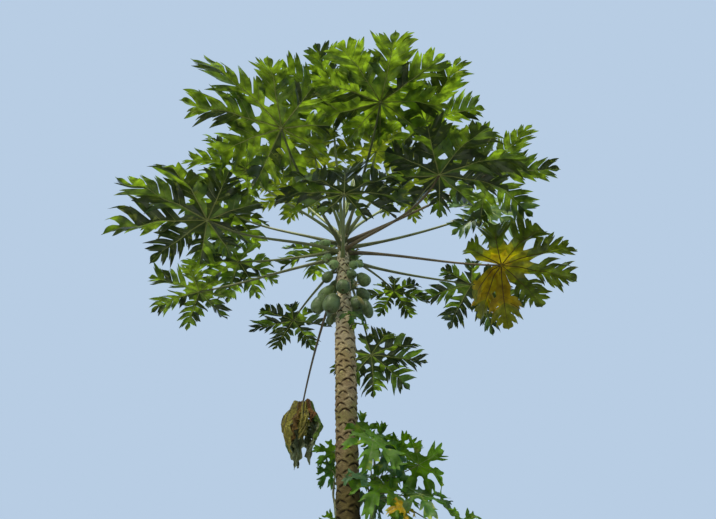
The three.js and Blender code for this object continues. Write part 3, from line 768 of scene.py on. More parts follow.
def blade_axes(leaf):
    """The blade's forward, side and upward directions after its turn, droop and roll."""
    forward = direction(leaf.az + leaf.turn, -leaf.droop)
    level = sideways(leaf.az + leaf.turn)
    roll = math.radians(leaf.roll)
    side = level * math.cos(roll) + np.cross(forward, level) * math.sin(roll)
    return forward, side, np.cross(forward, side)


def bend_blade(sheet, leaf, hub):
    """Lays a flat sheet over a sphere's cap under the hub, so that its slope grows to hang
    at the middle lobe's length."""
    forward, side, normal = blade_axes(leaf)
    arc = leaf.reach / math.radians(leaf.hang)
    r = np.hypot(sheet[..., 0], sheet[..., 1]) + 1e-9
    shrink = (arc + sheet[..., 2]) * np.sin(r / arc) / r
    up = (arc + sheet[..., 2]) * np.cos(r / arc) - arc
    x, y = sheet[..., 0] * shrink, sheet[..., 1] * shrink
    return hub + x[..., None] * forward + y[..., None] * side + up[..., None] * normal


Lobe = namedtuple("Lobe", "angle points veins finger")


def grow_blade(leaf, hub, most_fingers, finger_rows, seed, habit=FIRM):
    """All lobes of one blade, fanned round the hub. Three slow waves run across the whole
    blade and grow toward its rim."""
    rng = np.random.default_rng(seed)
    step = FAN / (leaf.lobes - 1)
    waves = rng.uniform(0, 2 * np.pi, 3)
    lobes = []
    for number in range(leaf.lobes):
        angle = step * (number - (leaf.lobes - 1) / 2)
        away = abs(angle)
        turned = math.radians(angle)
        share = 1 - BASAL_LOSS * (away / (FAN / 2)) ** 2
        shorter = 1 - abs(leaf.trim) * max(0, math.copysign(1, leaf.trim) * math.sin(turned))
        length = leaf.reach * share * shorter
        fingers = max(1, most_fingers - (away >= MANY_FINGERS) - (away >= FEW_FINGERS))
        sheet, rows = lobe_sheet(leaf.reach, length, step / 2, fingers, finger_rows, rng, habit)
        if angle > HANGING_FROM:
            past = np.clip(sheet[..., 0] / length - HANG_START, 0, 1)
            sheet[..., 2] -= habit.hang * length * past
            sheet[..., 0] -= HANG_PULL * habit.hang * length * past
        x = sheet[..., 0] * math.cos(turned) - sheet[..., 1] * math.sin(turned)
        y = sheet[..., 0] * math.sin(turned) + sheet[..., 1] * math.cos(turned)
        u, v = x / leaf.reach, y / leaf.reach
        ripple = np.sin(WAVES[0] * u + waves[0]) + np.sin(WAVES[1] * v + waves[1])
        ripple = (ripple + np.sin(WAVES[2] * (u + v) + waves[2])) * np.hypot(u, v)
        lift = sheet[..., 2] + habit.ripple * (leaf.reach / RIPPLE_REACH) * ripple
        points = bend_blade(np.stack([x, y, lift], -1), leaf, hub)
        lobes.append(Lobe(angle, points, rows.veins, rows.number))
    return lobes


def add_ribs(piece, lobes, radius, tone, sides=5):
    """A tapering rib along each midrib and a thinner one along each finger, most of it
    under the blade."""
    for lobe in lobes:
        grid = lobe.points
        rows = len(grid)
        picked = np.linspace(0, rows - 2, RIB_POINTS).astype(int)
        path = grid[picked, HALF]
        across = grid[picked, HALF + 1] - grid[picked, HALF - 1]
        down = unit(np.cross(across, np.gradient(path, axis=0)))
        thick = radius * (1 - RIB_TAPER * picked / rows)
        path = path + down * thick[:, None] * RIB_SINK
        piece.tube(tube_rings(path, thick, across, sides), tone)
        for side, half in ((1, grid[:, HALF:]), (-1, grid[:, HALF::-1])):
            path = half[lobe.veins][:, :-1]
            beside = half[lobe.veins + 1][:, :-1] - half[lobe.veins - 1][:, :-1]
            down = side * unit(np.cross(np.gradient(path, axis=-2), beside))
            slim = np.linspace(1, 0.3, path.shape[1])
            thin = radius * SIDE_RIB * (1 - SIDE_RIB_TAPER * lobe.veins / rows)[:, None] * slim
            path = path + down * thin[..., None] * RIB_SINK
            piece.tube(tube_rings(path, thin, beside, 4), tone)


def add_hub(piece, leaf, hub, tone):
    """A low boss over the middle of the blade, where the ribs run together."""
    wide = BOSS * HUB_HOLE * leaf.reach
    piece.tube(ball_rings(hub, blade_axes(leaf)[2], BOSS_HEIGHT * wide, wide, 9, 14), tone)


# Stalks

def petiole_rings(start, hub, az, leaves, enters, thickness, points, sides):
    """A petiole: thick at its foot, slimmer by a quarter of its way, with a clasping foot
    and a slight knee under the blade."""
    t = np.linspace(0, 1, points)
    radius = np.interp(t, [0, PETIOLE_SWELL, 1], [PETIOLE_BASE, PETIOLE_MIDDLE, PETIOLE_TOP])
    thicker = CLASP * (np.exp(-t / CLASP_LENGTH) + np.exp((t - 1) / KNEE_LENGTH))
    path = stalk_path(start, hub, az, leaves, enters, points)
    return tube_rings(path, thickness * radius * (1 + thicker), sideways(az), sides)


def hub_of(leaf):
    """Where the petiole of one leaf of the crown meets its blade."""
    return crown_point(leaf.az, leaf.out, leaf.rise)


def crown_petiole(leaf):
    """The petiole of one leaf of the crown."""
    foot = crown_point(leaf.az, PETIOLE_INSET, leaf.base)
    way = (leaf.az, leaf.leaves, leaf.enters)
    return petiole_rings(foot, hub_of(leaf), *way, 1.0, PETIOLE_POINTS, PETIOLE_SIDES)


def node_names(kind, numbers):
    """The names of some of the nodes of one kind."""
    return [f"{kind}_{number + 1:02d}" for number in numbers]


# Trunk

def leaf_scars(height, angle, radius, depth):
    """Scars that fallen leaves left, one golden angle after the other up the stem: an arch
    with a low lip over it, a groove along it that fades downward, and a knob in its
    middle. Gives the relief and a mark that is 1 in the grooves and -1 on the knobs; the
    bark paints the grooves dark, partly as painted shade, and the knobs pale as a painted
    highlight."""
    steps = np.linspace(0, STEM_TIP, 2000)
    spacing = np.interp(steps, *SCAR_SPACING)
    number = np.concatenate([[0], np.cumsum(np.diff(steps) / spacing[1:])])
    count = int(number[-1]) + 1
    shift = np.random.default_rng(7).uniform(-1, 1, (4, count)) * np.array(SCAR_SCATTER)[:, None]
    nearest = np.floor(np.interp(height, steps, number)).astype(int)
    groove = np.zeros((len(height), len(angle)))
    lip, knob = np.zeros_like(groove), np.zeros_like(groove)
    for step in range(-NEXT_SCARS, NEXT_SCARS + 1):
        scar = np.clip(nearest + step, 0, count - 1)
        middle = np.interp(scar, number, steps) + shift[0, scar]
        around = np.radians(GOLDEN_ANGLE * scar + shift[1, scar])
        turn = (angle - around[:, None] + np.pi) % (2 * np.pi) - np.pi
        half_width = SCAR_HALF_WIDTH * (1 + shift[2, scar])[:, None]
        arch = np.maximum(1 - (turn / half_width) ** 2, 0)
        rise = SCAR_RISE * (1 + shift[3, scar])[:, None]
        under = middle[:, None] + rise * arch - height[:, None]
        fade = arch**0.4
        down = np.maximum(under, 0) / GROOVE_DEPTH_AT
        groove = np.maximum(groove, fade * down * np.exp(1 - down))
        lip = np.maximum(lip, fade * np.exp(-((under + LIP_AT) / LIP_WIDTH) ** 2))
        below = under - rise * arch + 0.35 * rise
        spot = np.hypot(turn * radius[:, None], below)
        knob = np.maximum(knob, np.exp(-(((spot - KNOB_SIZE) / KNOB_SIZE) ** 2)))
    strength = np.interp(height, *SCAR_STRENGTH)[:, None]
    return depth * strength * (0.6 * lip + 0.5 * knob - groove), (groove - knob) * strength


def grow_trunk(settings):
    """The trunk: radius over height and angle from the profile, times the flare's ridges,
    plus the scars and soft lumps, sheared along the lean."""
    low = np.linspace(0, FINE_FROM, TRUNK_ROWS[0], endpoint=False)
    height = np.concatenate([low, np.linspace(FINE_FROM, STEM_TIP, TRUNK_ROWS[1])])
    angle = -2 * np.pi * np.arange(TRUNK_COLUMNS) / TRUNK_COLUMNS
    at, across = np.array(TRUNK_PROFILE).T
    radius = np.pad(
        np.interp(height, at, across / 2), SMOOTHED_ROWS, mode="reflect", reflect_type="odd"
    )
    window = 2 * SMOOTHED_ROWS + 1
    radius = np.convolve(radius, np.ones(window) / window, "valid")
    ridge = 1 + FLARE_DEPTH * np.cos(FLARE_RIDGES * angle) * np.exp(-height / FLARE_HEIGHT)[:, None]
    scars, groove = leaf_scars(height, angle, radius, settings.scar_depth)
    shape = (len(height), len(angle))
    lumps = sum(size * smooth_noise(shape, cells, seed) for size, cells, seed in LUMPS)
    fade = np.minimum(1, np.minimum(height, STEM_TIP - height) / PLAIN_RIM)[:, None]
    r = radius[:, None] * ridge + (scars + lumps) * fade
    x = r * np.cos(angle) + lean_at(height)[:, None]
    z = np.broadcast_to(height[:, None], shape)
    piece = Piece("bark_trunk", [bark_material("Papaya bark", settings.bark_colour)])
    piece.tube(np.stack([x, r * np.sin(angle), z], -1), 0, groove * fade)
    piece.finish("bark", "trunk")


# Crown

@lru_cache(maxsize=None)
def crown_blade(number, most_fingers):
    """The lobes of one leaf of the crown."""
    leaf = CROWN[number]
    habit = HANGING if number == YELLOWING else FIRM
    return grow_blade(leaf, hub_of(leaf), most_fingers, FINGER_ROWS, 100 + number, habit)


def finger_tones(lobe, tone, tones, rng):
    """Tones for the faces of a lobe: most fingers take the leaf's own, some another, so that lighter and
    darker fingers paint light and shade.
    """
    drawn = rng.integers(0, tones, (lobe.finger.max() + 1, 2))
    picked = np.where(rng.uniform(0, 1, drawn.shape) < OTHER_TONES, drawn, tone)[lobe.finger[1:]]
    return np.repeat(picked, HALF, axis=1).ravel()


def grow_blades(name, numbers, slot, uppers, unders, tones, settings):
    """The blades of some leaves, each in the tones that its entry in tones picks."""
    piece = Piece(name, uppers + unders)
    for number in numbers:
        rng = np.random.default_rng(400 + number)
        for lobe in crown_blade(number, settings.fingers):
            tone = finger_tones(lobe, tones.get(number, 0), len(uppers), rng)
            piece.sheet(lobe.points, tone, len(uppers) + tone, settings.thickness)
    piece.finish(slot, *node_names("leaf", numbers))


def yellow_zone(lobe, hub, reach):
    """Tones for the faces of a lobe of the leaf that turns yellow, by their distance from
    the hub along the midrib: yellow near it, then olive, then green. The lobes that hang
    stay yellow further out and don't get green."""
    share = np.linalg.norm(lobe.points[1:, HALF] - hub, axis=1) / reach
    if lobe.angle > HANGING_FROM:
        zone = np.where(share < YELLOW_TO[2], 0, 1)
    else:
        yellow = YELLOW_TO[abs(lobe.angle) >= MANY_FINGERS]
        zone = np.where(share < yellow, 0, np.where(share < OLIVE_TO, 1, 2))
    return np.repeat(zone, 2 * HALF)


def grow_yellowing_leaf(settings):
    """The old leaf: yellow, olive and green tissue dealt out by zone, and brown ribs."""
    tones = [
        leaf_material("Old leaf yellow", paint(214, 178, 28), paint(236, 214, 62), 0.46),
        leaf_material("Old leaf olive", paint(150, 152, 28), paint(222, 220, 60), 0.36),
        leaf_material("Old leaf green", paint(92, 112, 28), paint(200, 216, 60), 0.28),
    ]
    brown = stalk_material("Old leaf ribs", (128, 104, 48), (92, 72, 36))
    piece = Piece("yellowing_blade", tones + [brown])
    leaf = CROWN[YELLOWING]
    hub = hub_of(leaf)
    lobes = crown_blade(YELLOWING, settings.fingers)
    for lobe in lobes:
        zone = yellow_zone(lobe, hub, leaf.reach)
        piece.sheet(lobe.points, zone, zone, settings.thickness)
    add_ribs(piece, lobes, settings.rib_radius * leaf.reach, 3)
    add_hub(piece, leaf, hub, 0)
    piece.finish("leaf_green", *node_names("leaf", [YELLOWING]))


def grow_stalks(name, numbers, slot, materials, tones):
    """Petioles of some leaves of the crown."""
    piece = Piece(name, materials)
    for number in numbers:
        piece.tube(crown_petiole(CROWN[number]), tones.get(number, 0))
    piece.finish(slot, *node_names("leaf", numbers))


def grow_ribs(name, numbers, slot, material, settings):
    """Ribs and hub bosses of some leaves of the crown."""
    piece = Piece(name, [material])
    for number in numbers:
        leaf = CROWN[number]
        add_ribs(piece, crown_blade(number, settings.fingers), settings.rib_radius * leaf.reach, 0)
        add_hub(piece, leaf, hub_of(leaf), 0)
    piece.finish(slot, *node_names("leaf", numbers))


# Wilted and folded leaves

def wilted_lobe(hub, az, length, rise, out, width, seed):
    """A limp lobe: its midrib rises from the hub, arches over a narrow shoulder and hangs,
    swings out to its widest reach at six tenths of its length and comes in again. Its
    halves fold back from the midrib, their fingers are teeth in the rim, and two waves
    crumple it."""
    rng = np.random.default_rng(seed)
    s = np.linspace(0, 1, 56)[:, None]
    q = np.linspace(-1, 1, 13)[None, :]
    ahead = out * np.interp(s, *WILTED_REACH)
    drop = -length * np.maximum(0, s - 0.1) ** 1.15 + rise * np.sin(np.pi * np.minimum(1, s / 0.3))
    teeth = np.abs((5.5 * s + 0.2 * rng.uniform()) % 1 - 0.5) * 2
    wide = width * np.interp(s, *WILTED_WIDTH) * (1 - 0.5 * teeth * (s > 0.3))
    wide = np.maximum(wide * (1 - s**6), 0.001)
    crumple = 0.012 * np.sin(2.6 * np.pi * q + rng.uniform(0, 6) + 5 * s) * np.sin(np.pi * s)
    crumple = crumple + 0.009 * np.sin(17 * s + 4 * q + rng.uniform(0, 6)) * np.sqrt(s)
    swing = 0.05 * rng.uniform(-1, 1) * s**2
    depth = ahead - 0.6 * wide * np.abs(q) + crumple
    beside = wide * q * 0.62 + swing
    z = drop - 0.7 * wide * np.abs(q) ** 1.3
    axes = np.array([direction(az, 0), sideways(az), [0, 0, 1]])
    return hub + np.stack([depth, beside, z], -1) @ axes


def grow_wilted_leaf():
    """The collapsed leaf: a bent stalk, and limp lobes in several plain tones."""
    hub = hub_of(WILTED)
    tones = [
        wilted_material("Wilted brown", (186, 148, 66), (118, 90, 42)),
        wilted_material("Wilted olive", (206, 196, 80), (138, 128, 50)),
        wilted_material("Wilted green", (148, 180, 56), (98, 126, 40)),
        wilted_material("Wilted underside", (186, 196, 150), (140, 146, 94)),
        wilted_material("Wilted dark", (70, 84, 34), (44, 52, 24)),
        wilted_material("Wilted orange", (200, 140, 60), (130, 86, 40)),
        stalk_material("Wilted stalk", (120, 108, 78), (92, 80, 56)),
    ]
    underside, stalk = 3, 6
    piece = Piece("wilted_blade", tones)
    for *shape, tone in WILTED_LOBES:
        points = wilted_lobe(hub, *shape)
        piece.sheet(points, tone, underside, WILTED_THICKNESS)
        centre = points.shape[1] // 2
        path = points[::4, centre]
        across = points[::4, centre + 1] - points[::4, centre - 1]
        piece.tube(tube_rings(path, np.linspace(*WILTED_RIB, len(path)), across, 5), stalk)
    piece.tube(crown_petiole(WILTED), stalk)
    knot = hub + np.array([0, 0, KNOT_HEIGHT])
    piece.tube(ball_rings(knot, direction(0, 90), KNOT_HEIGHT, KNOT_RADIUS, 9, 12), stalk)
    piece.finish("wilted_leaf", "wilted_leaf")


def grow_folded_leaves():
    """Young leaves still folded, on a growing tip: slim spindles on short stalks, their
    radius a sine along them, pleated by a wave round them."""
    material = leaf_material("Folded leaf", paint(128, 146, 62), paint(150, 170, 50))
    piece = Piece("folded_young_leaves", [material])
    heart = np.array([lean_at(STEM_TIP), 0, STEM_TIP + HEART])
    piece.tube(ball_rings(heart, direction(0, 90), HEART, HEART, 11, 16))
    t = np.linspace(0, 1, 48)
    spindle = FOLDED_WIDTH / 2 * np.sin(np.pi * np.clip((t - FOLDED_FROM) / 0.63, 0, 1))
    radius = np.maximum(np.interp(t, *FOLDED_STALK), spindle)
    round_ = 2 * np.pi * np.arange(FOLDED_SIDES) / FOLDED_SIDES
    pleats = 1 + PLEAT_DEPTH * np.cos(PLEATS * round_) * (t > FOLDED_FROM + 0.05)[:, None]
    for az, out, rise in FOLDED:
        tip = heart + direction(az, 0) * out + np.array([0, 0, rise])
        path = stalk_path(heart, tip, az, 60, 85, len(t))
        rings = tube_rings(path, radius, sideways(az), FOLDED_SIDES)
        piece.tube(path[:, None] + (rings - path[:, None]) * pleats[..., None])
    piece.finish("young_leaf", "folded_leaves")


# Fruit and flowers

def fruit_rings(spec, ridge, seed):
    """A fruit: a ball drawn out along its axis, wider by the belly's share toward its lower
    end, with a dimple at the stalk, a blunt nib, five soft ridges and slight lumps."""
    az, height, out, width, length, slope = spec
    rng = np.random.default_rng(seed)
    angle = np.linspace(0.03, np.pi - 0.03, FRUIT_ROWS)
    along = -np.cos(angle) * length / 2
    along += 0.05 * length * np.exp(-angle / 0.25) + 0.03 * length * np.exp((angle - np.pi) / 0.12)
    radius = width / 2 * np.sin(angle) ** 0.9 * (1 - FRUIT_BELLY * np.cos(angle))
    centre, axis = trunk_point(az, out, height), direction(az, -slope)
    rings = turned_rings(centre, axis, along, radius, FRUIT_SIDES)
    path = (centre + axis * along[:, None])[:, None]
    round_ = 2 * np.pi * np.arange(FRUIT_SIDES) / FRUIT_SIDES
    down = angle[:, None]
    waves = ridge * np.cos(5 * round_ + rng.uniform(0, 6))
    waves = waves + 0.012 * np.cos(2 * round_ + rng.uniform(0, 6) + 2 * down)
    waves = waves + 0.008 * np.cos(7 * round_ + 5 * down + rng.uniform(0, 6))
    return path + (rings - path) * (1 + waves * np.sin(down) ** 0.5)[..., None]


def fruit_tones(tone, tip):
    """The fruit's tone for its faces, and a dry tone for the scar at its point."""
    return np.repeat([tone] * (FRUIT_ROWS - 2) + [tip], FRUIT_SIDES)


def grow_fruit(settings):
    """Fruit in a few plain greens, with dry brown points."""
    green = settings.skin_colour
    tones = [
        fruit_material("Papaya skin dark", green),
        fruit_material("Papaya skin mid", mixed(green, paint(140, 164, 102), 0.6)),
        fruit_material("Papaya skin young", paint(160, 186, 118)),
        stalk_material("Papaya point", (92, 84, 50), (64, 56, 36), 0.9),
    ]
    piece = Piece("papayas", tones)
    numbers = [n for n in range(len(FRUIT)) if n != RIPENING]
    for number in numbers:
        tone = 2 if number in YOUNG_FRUIT else 1 if number in MIDDLE_FRUIT else 0
        ridge = settings.ridge * (DEEP_RIDGES if number in RIDGED_FRUIT else 1)
        piece.tube(fruit_rings(FRUIT[number], ridge, number), fruit_tones(tone, 3))
    piece.finish("fruit_skin", *node_names("papaya", numbers))

    skin = fruit_material("Papaya skin ripening", green, paint(176, 150, 44))
    ripe = Piece("ripening_papaya", [skin, tones[3]])
    rings = fruit_rings(FRUIT[RIPENING], settings.ridge, RIPENING)
    cheek = unit(rings - rings.reshape(-1, 3).mean(0)) @ unit(RIPE_CHEEK)
    ripe.tube(rings, fruit_tones(0, 1), np.clip((cheek - 0.55) / 0.35, 0, 1))
    ripe.finish("fruit_skin", *node_names("papaya", [RIPENING]))

    stalks = Piece("papaya_stalks", [stalk_material("Papaya stalk", (104, 116, 72), (120, 106, 70))])
    for az, height, out, _width, length, slope in FRUIT:
        top = trunk_point(az, out, height) - direction(az, -slope) * STALK_INTO_FRUIT * length
        foot = trunk_point(az, FRUIT_STALK_INSET, top[2] + FRUIT_STALK_INSET)
        path = foot + (top - foot) * np.linspace(0, 1, 9)[:, None]
        radius = FRUIT_STALK * (1 + 0.5 * np.linspace(-1, 1, 9) ** 4)
        stalks.tube(tube_rings(path, radius, sideways(az), 10))
    stalks.finish("fruit_skin", *node_names("papaya", range(len(FRUIT))))


def grow_flowers():
    """Small pale flowers and buds between the fruit: a short tube and five strap petals
    that curl back, each a strip whose width is a sine of its length."""
    cream = stalk_material("Petal", (214, 208, 166), (196, 184, 120))
    green = stalk_material("Flower stalk", (140, 150, 84), (120, 128, 70))
    piece = Piece("flowers", [cream, green])
    s = np.linspace(0, 1, 8)[:, None]
    q = np.linspace(-1, 1, 5)[None, :]
    tube = np.array([0.1, 0.1, 0.12, 0.2, 0.24, 0.2])
    for number, (az, out, height, slope, size) in enumerate(FLOWERS):
        base, axis, side = trunk_point(az, out, height), direction(az, slope), sideways(az)
        lift = np.cross(axis, side)
        along = np.linspace(-0.9, 0.35, len(tube)) * size
        piece.tube(turned_rings(base, axis, along, size * tube, 10), 1)
        foot = trunk_point(az, 0.02, height - 0.02)
        path = foot + (base - 0.85 * size * axis - foot) * np.linspace(0, 1, 4)[:, None]
        piece.tube(tube_rings(path, np.full(4, 0.1 * size), side, 6), 1)
        for petal in range(PETALS):
            a = 2 * math.pi * (petal + 0.3 * number) / PETALS
            spoke = side * math.cos(a) + lift * math.sin(a)
            away = size * (0.12 + 0.75 * s**1.6) + 0 * q
            ahead = size * (0.25 + 1.0 * s - 0.45 * s**3) + 0 * q
            wide = size * 0.2 * np.sin(np.pi * (0.12 + 0.85 * s)) * q
            axes = np.array([spoke, axis, np.cross(axis, spoke)])
            points = base + np.stack([away, ahead, wide], -1) @ axes
            piece.grid(points, 0)
            piece.grid(points[:, ::-1], 0)
    piece.finish("fruit_skin")


# Side shoots

def grow_shoots(settings):
    """Short stems with small leaves on thin petioles, by the rule of the crown's leaves."""
    uppers = [
        leaf_material("Shoot leaf", paint(96, 140, 28), paint(190, 232, 60), 0.46, 0.55),
        leaf_material("Shoot leaf yellow", paint(224, 184, 30), paint(250, 224, 60), 0.5),
        leaf_material("Shoot leaf dark", paint(66, 100, 32), paint(170, 216, 60), 0.36, 0.55),
        # the bluish tone is a painted sky sheen
        leaf_material("Shoot leaf sky sheen", paint(76, 118, 72), paint(170, 216, 100), 0.3, 0.55),
        leaf_material("Shoot leaf new", paint(132, 164, 30), paint(214, 236, 60), 0.5, 0.55),
    ]
    leaves = Piece("shoot_blades", uppers)
    stems = Piece("shoot_stems", [
        stalk_material("Shoot stem", (110, 124, 72), (128, 116, 74)),
        stalk_material("Shoot rib", (140, 156, 92), (120, 140, 76)),
    ])
    t = np.linspace(0, 1, SHOOT_POINTS)
    first, spread_over = SHOOT_LEAVES
    for name, shoot in SHOOTS.items():
        start, end = trunk_point(*shoot.foot), trunk_point(*shoot.tip)
        heading = compass(end - start)
        stem = stalk_path(start, end, heading, *SHOOT_STEM_SLOPES, SHOOT_POINTS)
        radius = shoot.radius * (1 - 0.3 * t) * (1 + 0.05 * np.cos(50 * t))
        stems.tube(tube_rings(stem, radius, sideways(heading), 12), 0)
        for number, (az, out, height, face, droop, roll, reach, tone) in enumerate(shoot.leaves):
            at = first - spread_over * number / len(shoot.leaves)
            root = stem[round(at * (SHOOT_POINTS - 1))]
            hub = trunk_point(az, out, height)
            way = (compass(hub - root), *SHOOT_PETIOLE_SLOPES)
            stems.tube(petiole_rings(root, hub, *way, SHOOT_PETIOLE, 24, 8), 0)
            lobes = 5 if reach < SMALL_SHOOT_LEAF else 7
            leaf = Leaf(face, 0, 0, 0, 0, 0, 0, droop, roll, reach, SHOOT_HANG, lobes)
            seed = 300 + 20 * len(name) + number
            blade = grow_blade(leaf, hub, 2, SHOOT_FINGER_ROWS, seed, YOUNG)
            for lobe in blade:
                leaves.sheet(lobe.points, tone, tone, settings.thickness * 0.6)
            add_ribs(stems, blade, settings.rib_radius * reach, 1, 4)
            add_hub(stems, leaf, hub, 1)
    leaves.finish("shoot_leaf", *SHOOTS)
    stems.finish("shoot_leaf", *SHOOTS)


# Floor, light and camera

def set_stage(settings):
    """A pale floor, an even pale sky, a soft light from above, a weak warm one from the
    front left and the camera."""
    half = settings.floor_size / 2
    mesh = bpy.data.meshes.new("floor")
    corners = [(-half, -half, 0), (half, -half, 0), (half, half, 0), (-half, half, 0)]
    mesh.from_pydata(corners, [], [(0, 1, 2, 3)])
    material, tree, _place = new_material("Floor")
    matt = node(tree, "BsdfPrincipled", Base_Color=settings.floor_colour[:], Roughness=0.9)
    close(tree, matt.outputs[0])
    mesh.materials.append(material)
    floor = bpy.data.objects.new("floor", mesh)
    scene = bpy.context.scene
    scene.collection.objects.link(floor)

    world = bpy.data.worlds.new("Sky")
    world.use_nodes = True
    tree = world.node_tree
    tree.nodes.clear()
    way = node(tree, "TexCoord").outputs["Generated"]
    height = node(tree, "SeparateXYZ", Vector=way).outputs["Z"]
    strength = settings.sky_strength
    glow = spread(tree, height, -0.15, 0.1, 0.06 * strength, strength)
    seen = node(tree, "LightPath").outputs["Is Camera Ray"]
    glow = combined(tree, "MAXIMUM", glow, seen)
    sky = node(tree, "Background", Color=settings.sky_colour[:], Strength=glow)
    tree.links.new(sky.outputs[0], node(tree, "OutputWorld").inputs[0])
    scene.world = world

    for name, energy, angle, colour, turn in (
        ("soft_sun", settings.sun_strength, 24, (1.0, 0.94, 0.84), (28, -18, 0)),
        ("soft_fill", settings.fill_strength, 50, (1.0, 0.84, 0.60), (78, 0, -34)),
    ):
        light = bpy.data.lights.new(name, "SUN")
        light.energy = energy
        light.angle = math.radians(angle)
        light.color = colour
        lamp = bpy.data.objects.new(name, light)
        lamp.rotation_euler = [math.radians(degrees) for degrees in turn]
        scene.collection.objects.link(lamp)

    lens = bpy.data.cameras.new("view")
    lens.sensor_fit = "HORIZONTAL"
    lens.sensor_width = SENSOR_WIDTH
    lens.lens = SENSOR_WIDTH * FOCAL_PIXELS / IMAGE_WIDTH
    camera = bpy.data.objects.new("view", lens)
    camera.location = EYE
    camera.rotation_euler = (math.radians(90 + CAMERA_RISE), 0, 0)
    scene.collection.objects.link(camera)
    scene.camera = camera
    scene.view_settings.view_transform = "Standard"


# What a user may change

# Tones of leaf tissue: brightness, tint, and the share of light that it lets through. They are lit and
# shaded copies of one leaf: the dark third tone is painted shade, the bright second and fourth are
# painted light, and the bluish tint of the fourth is a painted sky sheen.
LEAF_TONES_AND_PAINTED_LIGHT = [
    (1.1, paint(84, 110, 34), 0.42), (1.5, paint(128, 150, 50), 0.52),
    (0.5, paint(42, 58, 22), 0.16), (1.4, paint(112, 146, 92), 0.30),
]


class TrunkSettings(PropertyGroup):
    """Sizes and colour of the trunk."""

    scar_depth: FloatProperty(
        name="Scar depth", description="Depth of the leaf scars", default=0.0055, unit="LENGTH"
    )
    bark_colour: FloatVectorProperty(
        name="Bark", description="Colour of the bark", default=paint(240, 200, 148), subtype="COLOR"
    )


class LeafSettings(PropertyGroup):
    """Sizes and colours of the leaves."""

    fingers: IntProperty(
        name="Fingers", description="Fingers on each side of the main lobes", default=4, min=1, max=8
    )
    thickness: FloatProperty(
        name="Thickness", description="Thickness of a blade at its midrib", default=0.001, unit="LENGTH"
    )
    rib_radius: FloatProperty(
        name="Rib radius", description="Radius of a main rib, share of the blade's reach",
        default=0.0075, subtype="FACTOR", min=0.001, max=0.05,
    )
    upper_colour: FloatVectorProperty(
        name="Upper side", description="Colour of a mature leaf from above",
        default=paint(82, 112, 54), subtype="COLOR",
    )
    under_colour: FloatVectorProperty(
        name="Underside", description="Colour of a mature leaf from below",
        default=paint(88, 118, 44), subtype="COLOR",
    )
    young_colour: FloatVectorProperty(
        name="Young leaf", description="Colour of a young leaf", default=paint(112, 134, 52),
        subtype="COLOR",
    )


class FruitSettings(PropertyGroup):
    """Shape and colour of the fruit."""

    skin_colour: FloatVectorProperty(
        name="Skin", description="Colour of the dark fruit", default=paint(104, 122, 78), subtype="COLOR"
    )
    ridge: FloatProperty(
        name="Ridges", description="Height of the five ridges, share of the radius",
        default=0.018, subtype="FACTOR", min=0, max=0.2,
    )


class StageSettings(PropertyGroup):
    """Floor and light."""

    floor_size: FloatProperty(
        name="Floor size", description="Width of the square floor", default=3.4, unit="LENGTH"
    )
    floor_colour: FloatVectorProperty(
        name="Floor", description="Colour of the floor", default=paint(192, 192, 188), subtype="COLOR"
    )
    sky_colour: FloatVectorProperty(
        name="Sky", description="Colour of the even sky", default=paint(184, 205, 228), subtype="COLOR"
    )
    sky_strength: FloatProperty(name="Sky strength", description="Light of the sky", default=1.0)
    sun_strength: FloatProperty(name="Sun strength", description="Light of the soft sun", default=4.5)
    fill_strength: FloatProperty(name="Fill strength", description="Light of the warm fill", default=0.5)


# Operators

class PAPAYA_OT_trunk(Operator):
    """Makes the trunk with its leaf scars"""

    bl_idname = "papaya.trunk"
    bl_label = "Trunk"

    def execute(self, context):
        grow_trunk(context.scene.papaya_trunk)
        return {"FINISHED"}


class PAPAYA_OT_petioles(Operator):
    """Makes the petioles of the crown"""

    bl_idname = "papaya.petioles"
    bl_label = "Petioles"

    def execute(self, context):
        green = stalk_material("Petiole green", (142, 150, 96), (104, 106, 66))
        brown = stalk_material("Petiole brown", (148, 132, 98), (98, 86, 60))
        pale = stalk_material("Petiole pale", (166, 178, 116), (134, 144, 88))
        grow_stalks("leaf_stalks", range(YOUNGEST), "leaf_green", [green, brown, pale], STALK_TONES)
        young = range(YOUNGEST, len(CROWN))
        grow_stalks("young_leaf_stalks", young, "young_leaf", [pale], {})
        return {"FINISHED"}


class PAPAYA_OT_blades(Operator):
    """Makes the blades of the mature and the young leaves"""

    bl_idname = "papaya.blades"
    bl_label = "Blades"

    def execute(self, context):
        settings = context.scene.papaya_leaf
        upper, under = settings.upper_colour[:], settings.under_colour[:]
        uppers, unders = [], []
        for tone, (factor, tint, share) in enumerate(LEAF_TONES_AND_PAINTED_LIGHT):
            top = mixed(shade(upper, factor), tint, 0.4)
            below = mixed(shade(under, factor), tint, 0.4)
            uppers.append(leaf_material(f"Leaf above {tone + 1}", top, paint(201, 225, 120), share))
            unders.append(leaf_material(f"Leaf below {tone + 1}", below, paint(192, 218, 88), share))
        front = [n for n in range(BACK_HALF) if n != YELLOWING]
        for name, numbers in (
            ("front_left_blades", front[:5]), ("front_right_blades", front[5:]),
            ("back_blades", range(BACK_HALF, YOUNGEST)),
        ):
            grow_blades(name, numbers, "leaf_green", uppers, unders, LEAF_TONE_AND_SHADE_OF, settings)
        young = settings.young_colour[:]
        pair = [leaf_material("Young leaf above", shade(young, 0.9), paint(214, 234, 110)),
                leaf_material("Young leaf below", young, paint(200, 226, 80))]
        numbers = range(YOUNGEST, len(CROWN))
        grow_blades("young_blades", numbers, "young_leaf", pair[:1], pair[1:], {}, settings)
        return {"FINISHED"}


